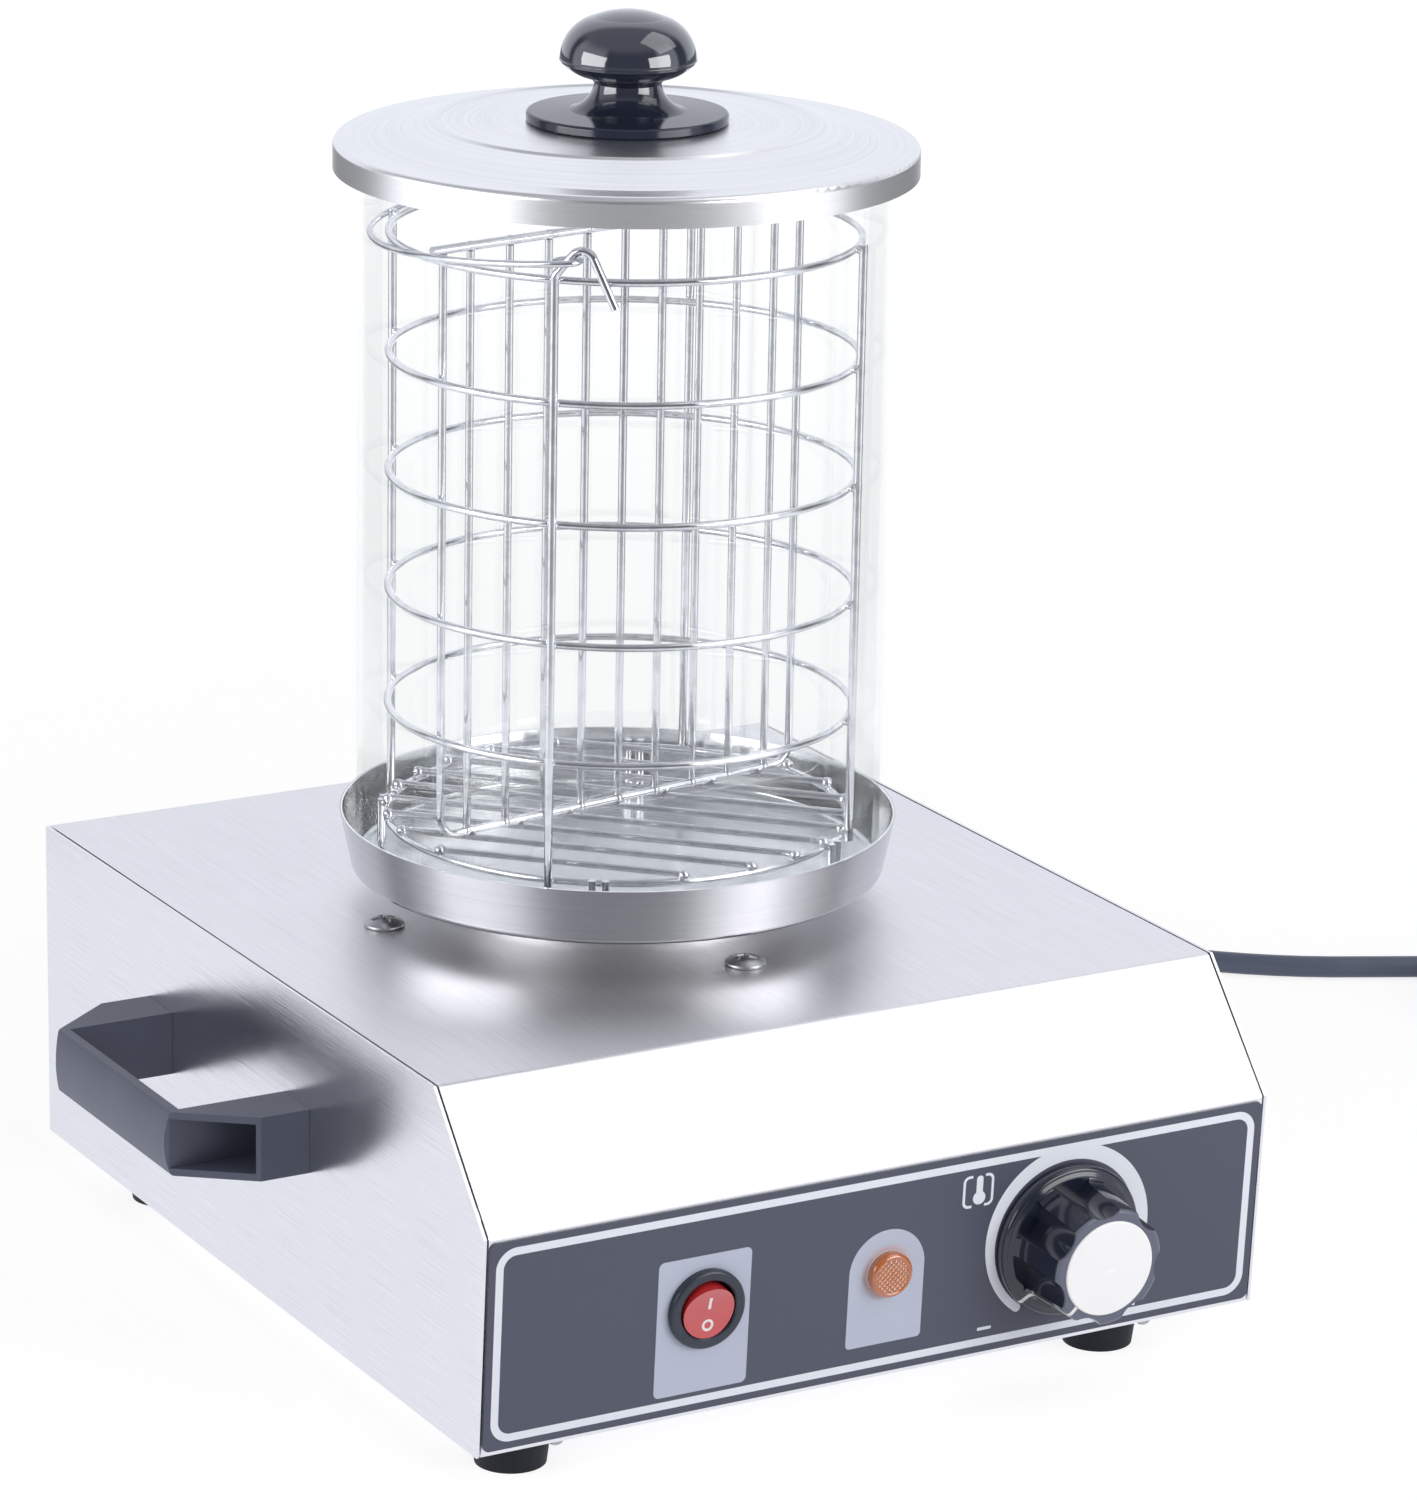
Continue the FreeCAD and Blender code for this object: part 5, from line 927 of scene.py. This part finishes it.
# %% Shapes on the panel
EDGE = 0.07
PANEL_TURN = math.pi / 2 + PANEL_TILT


def panel_parts(base):
    """Across, up and out on the front panel, in millimetres."""
    return place_in_mm(base, panel_place(0.0, 0.0, OVERLAY_FACE), PANEL_TURN).parts()


def inside(distance):
    """One where a signed distance is below zero, with a fine soft edge."""
    return 1 - distance.rise(-EDGE, EDGE)


def disc(x, y, centre, radius):
    """Signed distance to a circle."""
    dx, dy = x - centre[0], y - centre[1]
    return (dx * dx + dy * dy).root() - radius


def rounded_box(x, y, low, high, radius):
    """Signed distance to a box with rounded corners."""
    dx = abs(x - (low[0] + high[0]) / 2) - ((high[0] - low[0]) / 2 - radius)
    dy = abs(y - (low[1] + high[1]) / 2) - ((high[1] - low[1]) / 2 - radius)
    outer_x, outer_y = dx.most(0.0), dy.most(0.0)
    return (outer_x * outer_x + outer_y * outer_y).root() + dx.most(dy).least(0.0) - radius


print("panel tilt", round(math.degrees(PANEL_TILT), 2))

# %% Printed foil
OVERLAY_LOW = (-140.7, 1.6)
OVERLAY_HIGH = (140.7, 71.3)
BORDER_INSET = 2.4
BORDER_LINE = 2.6
BORDER_ROUND = 7.0
SWITCH_PLATE = ((-81.45, 8.1), (-48.5, 54.2))
LAMP_PLATE = ((-12.6, 11.8), (14.9, 38.6))
LAMP_ARCH = ((1.15, 37.15), 13.75)
DIAL_CENTRE = (67.5, PANEL_MIDDLE)
GAUGE_CENTRE = (67.5, PANEL_MIDDLE + 0.6)
GAUGE_INNER = 26.3
GAUGE_START_WIDTH = 2.9
GAUGE_GROWTH = 2.3
GAUGE_REACH = math.radians(143.0)
# painted light: reach, share and tint of the lamp's light painted on the foil round the lens
PAINTED_LAMP_LIGHT_REACH = 2.4
PAINTED_LAMP_LIGHT_SHARE = 0.45
PAINTED_LAMP_LIGHT = colour(0.72, 0.27, 0.10)
SIGN_FRAME = ((27.8, 52.9), (39.2, 64.0), 2.2)
SIGN_FRAME_HOLE = ((28.7, 53.8), (38.3, 63.1), 1.4)
SIGN_MIDDLE = 33.6
SIGN_GAP = (2.2, 2.5)
SIGN_TUBE = ((32.75, 55.5), (35.15, 63.6), 1.1)
SIGN_BULB = ((33.95, 56.0), 2.3)
LESS_MARK = ((36.4, 9.2), (41.6, 10.3), 0.3)
MORE_MARK_ACROSS = ((93.4, 9.2), (98.6, 10.3), 0.3)
MORE_MARK_UP = ((95.45, 7.15), (96.55, 12.35), 0.3)
FOIL = colour(0.074, 0.081, 0.118)
FOIL_PLATE = colour(0.52, 0.56, 0.68)
FOIL_WHITE = colour(0.84, 0.87, 0.94)


def border_mask(x, y):
    """The band between two rounded boxes."""
    bands = []
    for step in (0.0, BORDER_LINE):
        inset, radius = BORDER_INSET + step, BORDER_ROUND - step
        low = (OVERLAY_LOW[0] + inset, OVERLAY_LOW[1] + inset)
        high = (OVERLAY_HIGH[0] - inset, OVERLAY_HIGH[1] - inset)
        bands.append(inside(rounded_box(x, y, low, high, radius)))
    return bands[0] * (1 - bands[1])


def gauge_mask(x, y):
    """A ring about the dial that widens up to its top, with a round start and an open foot."""
    dx, dy = x - GAUGE_CENTRE[0], y - GAUGE_CENTRE[1]
    radius = (dx * dx + dy * dy).root()
    from_top = dx.angle_from(dy)
    width = GAUGE_START_WIDTH + GAUGE_GROWTH * from_top.rise(-GAUGE_REACH, 0.0)
    ring = inside(GAUGE_INNER - radius) * inside(radius - width - GAUGE_INNER)
    reach = inside((abs(from_top) - GAUGE_REACH) * GAUGE_INNER)
    middle = GAUGE_INNER + GAUGE_START_WIDTH / 2
    start = (GAUGE_CENTRE[0] - middle * math.sin(GAUGE_REACH),
             GAUGE_CENTRE[1] + middle * math.cos(GAUGE_REACH))
    return (ring * reach).most(inside(disc(x, y, start, GAUGE_START_WIDTH / 2)))


def sign_mask(x, y):
    """A thermometer between two brackets, and marks for less and more under the gauge's ends."""
    frame_outer = inside(rounded_box(x, y, *SIGN_FRAME))
    frame_inner = inside(rounded_box(x, y, *SIGN_FRAME_HOLE))
    brackets = frame_outer * (1 - frame_inner) * abs(x - SIGN_MIDDLE).rise(*SIGN_GAP)
    mask = brackets.most(inside(disc(x, y, *SIGN_BULB)))
    for box in (SIGN_TUBE, LESS_MARK, MORE_MARK_ACROSS, MORE_MARK_UP):
        mask = mask.most(inside(rounded_box(x, y, *box)))
    return mask


def printed_foil():
    """Dark foil with pale plates and white lines under a fine grain, and a painted pool of the lamp's amber
    light round the lens.
    """
    material, base = start_finish("printed_foil")
    x, y, _ = panel_parts(base)
    plates = inside(rounded_box(x, y, *SWITCH_PLATE, 2.0)).most(inside(rounded_box(x, y, *LAMP_PLATE, 1.5)))
    plates = plates.most(inside(disc(x, y, *LAMP_ARCH)))
    white = border_mask(x, y).most(gauge_mask(x, y)).most(sign_mask(x, y))
    printed = mix_colour(white, mix_colour(plates, FOIL, FOIL_PLATE), FOIL_WHITE)
    # painted light: an amber pool of the lamp's light, fading out from the lens's edge
    glow = 1 - disc(x, y, (LAMP_ACROSS, PANEL_MIDDLE), LENS_RADIUS).rise(-0.5, PAINTED_LAMP_LIGHT_REACH)
    tone = mix_colour(PAINTED_LAMP_LIGHT_SHARE * glow, printed, PAINTED_LAMP_LIGHT)
    grain = noise(place_in_mm(base), (1.6, 1.6, 1.6), 2.0)
    clouds = noise(place_in_mm(base), (0.02, 0.02, 0.02), 2.0)
    close_finish(base, {"Base Color": tone, "Roughness": 0.36 + 0.1 * clouds,
                        "Normal": bump(grain, 0.15, 0.00002)})
    return material


FINISHES["overlay_print"] = printed_foil()
print("printed foil done")

# %% [markdown]
# The rocker is red plastic with the usual bar and ring for on and off. The dial carries one white pointer
# line, and the lamp's lens is amber. All use the panel's formulas, so their marks stand in the right place
# and turn with the piece.

# %% Rocker, dial and lens
SWITCH_ACROSS = -64.4
ROCKER_RED = colour(0.60, 0.028, 0.03)
MARK_WHITE = colour(0.85, 0.83, 0.82)
LENS_RIM = colour(0.52, 0.13, 0.02)
# painted highlight for the pyramids' tops and painted shade for the grooves
LENS_PAINTED_HIGHLIGHT = colour(0.88, 0.42, 0.22)
LENS_PAINTED_SHADE = colour(0.42, 0.12, 0.04)
ON_BAR = ((SWITCH_ACROSS - 0.5, 36.9), (SWITCH_ACROSS + 0.5, 41.1), 0.2)
OFF_RING = ((SWITCH_ACROSS, 31.2), 1.6)
OFF_RING_HALF = 0.42
POINTER_WIDTH = 1.3
POINTER_START = 15.0
DIAL_FRONT = 25.6
DIAL_FRONT_EDGE = 0.4
DIAL_BLACK = colour(0.014, 0.018, 0.034)
# painted reflection: the grey of the dial's front face
DIAL_PAINTED_REFLECTION = colour(0.115, 0.125, 0.175)
PYRAMID_EDGE = (0.06, 0.3)


def red_rocker():
    """Glossy red with a white bar and ring."""
    material, base = start_finish("red_rocker")
    x, y, _ = panel_parts(base)
    bar = inside(rounded_box(x, y, *ON_BAR))
    ring = inside(abs(disc(x, y, *OFF_RING)) - OFF_RING_HALF)
    clouds = noise(place_in_mm(base), (0.3, 0.3, 0.3), 2.0)
    tone = mix_colour(bar.most(ring), ROCKER_RED, MARK_WHITE)
    close_finish(base, {"Base Color": tone, "Roughness": 0.12 + 0.06 * clouds, "Coat Weight": 1.0,
                        "Coat IOR": 1.7})
    return material


def pointer_dial():
    """Black plastic with one white line, and a front face painted greyer as a painted reflection."""
    material, base = start_finish("pointer_dial")
    x, y, out = panel_parts(base)
    dx, dy = x - DIAL_CENTRE[0], y - DIAL_CENTRE[1]
    across = (dx - dy) * math.sqrt(0.5)
    along = (dx + dy) * math.sqrt(0.5)
    pointer = inside(abs(across) - POINTER_WIDTH / 2) * inside(along + POINTER_START)
    # painted reflection: the front face is painted greyer, as if it mirrored bright surroundings, and rougher
    front = out.rise(DIAL_FRONT - DIAL_FRONT_EDGE, DIAL_FRONT)
    plastic = mix_colour(front, DIAL_BLACK, DIAL_PAINTED_REFLECTION)
    tone = mix_colour(pointer, plastic, MARK_WHITE)
    clouds = noise(place_in_mm(base), (0.2, 0.2, 0.2), 2.0)
    close_finish(base, {"Base Color": tone, "Roughness": 0.1 + 0.06 * clouds + 0.25 * front,
                        "Coat Weight": 0.3, "Coat Roughness": 0.04})
    return material


def amber_lens():
    """Amber plastic, deeper on the rim, with a painted highlight on the pyramids' tops and painted shade in
    the grooves.
    """
    material, base = start_finish("amber_lens")
    x, y, _ = panel_parts(base)
    dx, dy = x - LAMP_ACROSS, y - PANEL_MIDDLE
    waves = [abs((way / PYRAMID_PITCH).fraction() - 0.5) for way in (dx + dy, dx - dy)]
    # painted light: pyramid tops paler as painted highlights, grooves darker as painted shade
    top = waves[0].least(waves[1]).rise(*PYRAMID_EDGE)
    face = inside((dx * dx + dy * dy).root() - LENS_FACE_RADIUS)
    tone = mix_colour(face, LENS_RIM, mix_colour(top, LENS_PAINTED_SHADE, LENS_PAINTED_HIGHLIGHT))
    clouds = noise(place_in_mm(base), (0.4, 0.4, 0.4), 2.0)
    close_finish(base, {"Base Color": tone, "Roughness": 0.1 + 0.06 * clouds, "Coat Weight": 1.0,
                        "Coat IOR": 1.7, "Coat Roughness": 0.03})
    return material


FINISHES["lens_amber"] = amber_lens()
FINISHES["rocker_red"] = red_rocker()
dial_finish = pointer_dial()
print("rocker and dial done")

# %% [markdown]
# Each solid keeps its shape and gets the finish of its slot. A few pieces differ from their slot: the back
# panel is brushed from side to side, the sides are smoother, the collar and the lid are duller than the
# pan, the dial carries its pointer, and the lid's knob has its own polish.

# %% Put the finishes on
SPECIAL_FINISHES = {
    "back_panel": sheet_along_x,
    "left_side_panel": sheet_sides,
    "right_side_panel": sheet_sides,
    "control_knob": dial_finish,
    "lid_knob": knob_finish,
    "pan_collar": spun_dull,
    "lid_disc": spun_lid,
}


def put_on(piece, material):
    """Makes this the piece's only material."""
    piece.data.materials.clear()
    piece.data.materials.append(material)


for slot, nodes in SLOT_NODES.items():
    for node in nodes:
        put_on(frame["nodes"][node], SPECIAL_FINISHES.get(node, FINISHES[slot]))
put_on(mains_lead, FINISHES["cord_rubber"])
put_on(tie, FINISHES["cord_rubber"])
put_on(pan_screw_piece, FINISHES["screw_steel"])
put_on(lens_piece, FINISHES["lens_amber"])
put_on(weld_bead_piece, FINISHES["wire"])
put_on(seam_piece, knob_finish)
print("finishes on", sum(len(nodes) for nodes in SLOT_NODES.values()), "nodes")

# %% [markdown]
# Last, the view layer is updated, so that every piece stands in its place.

# %% End
bpy.context.view_layer.update()
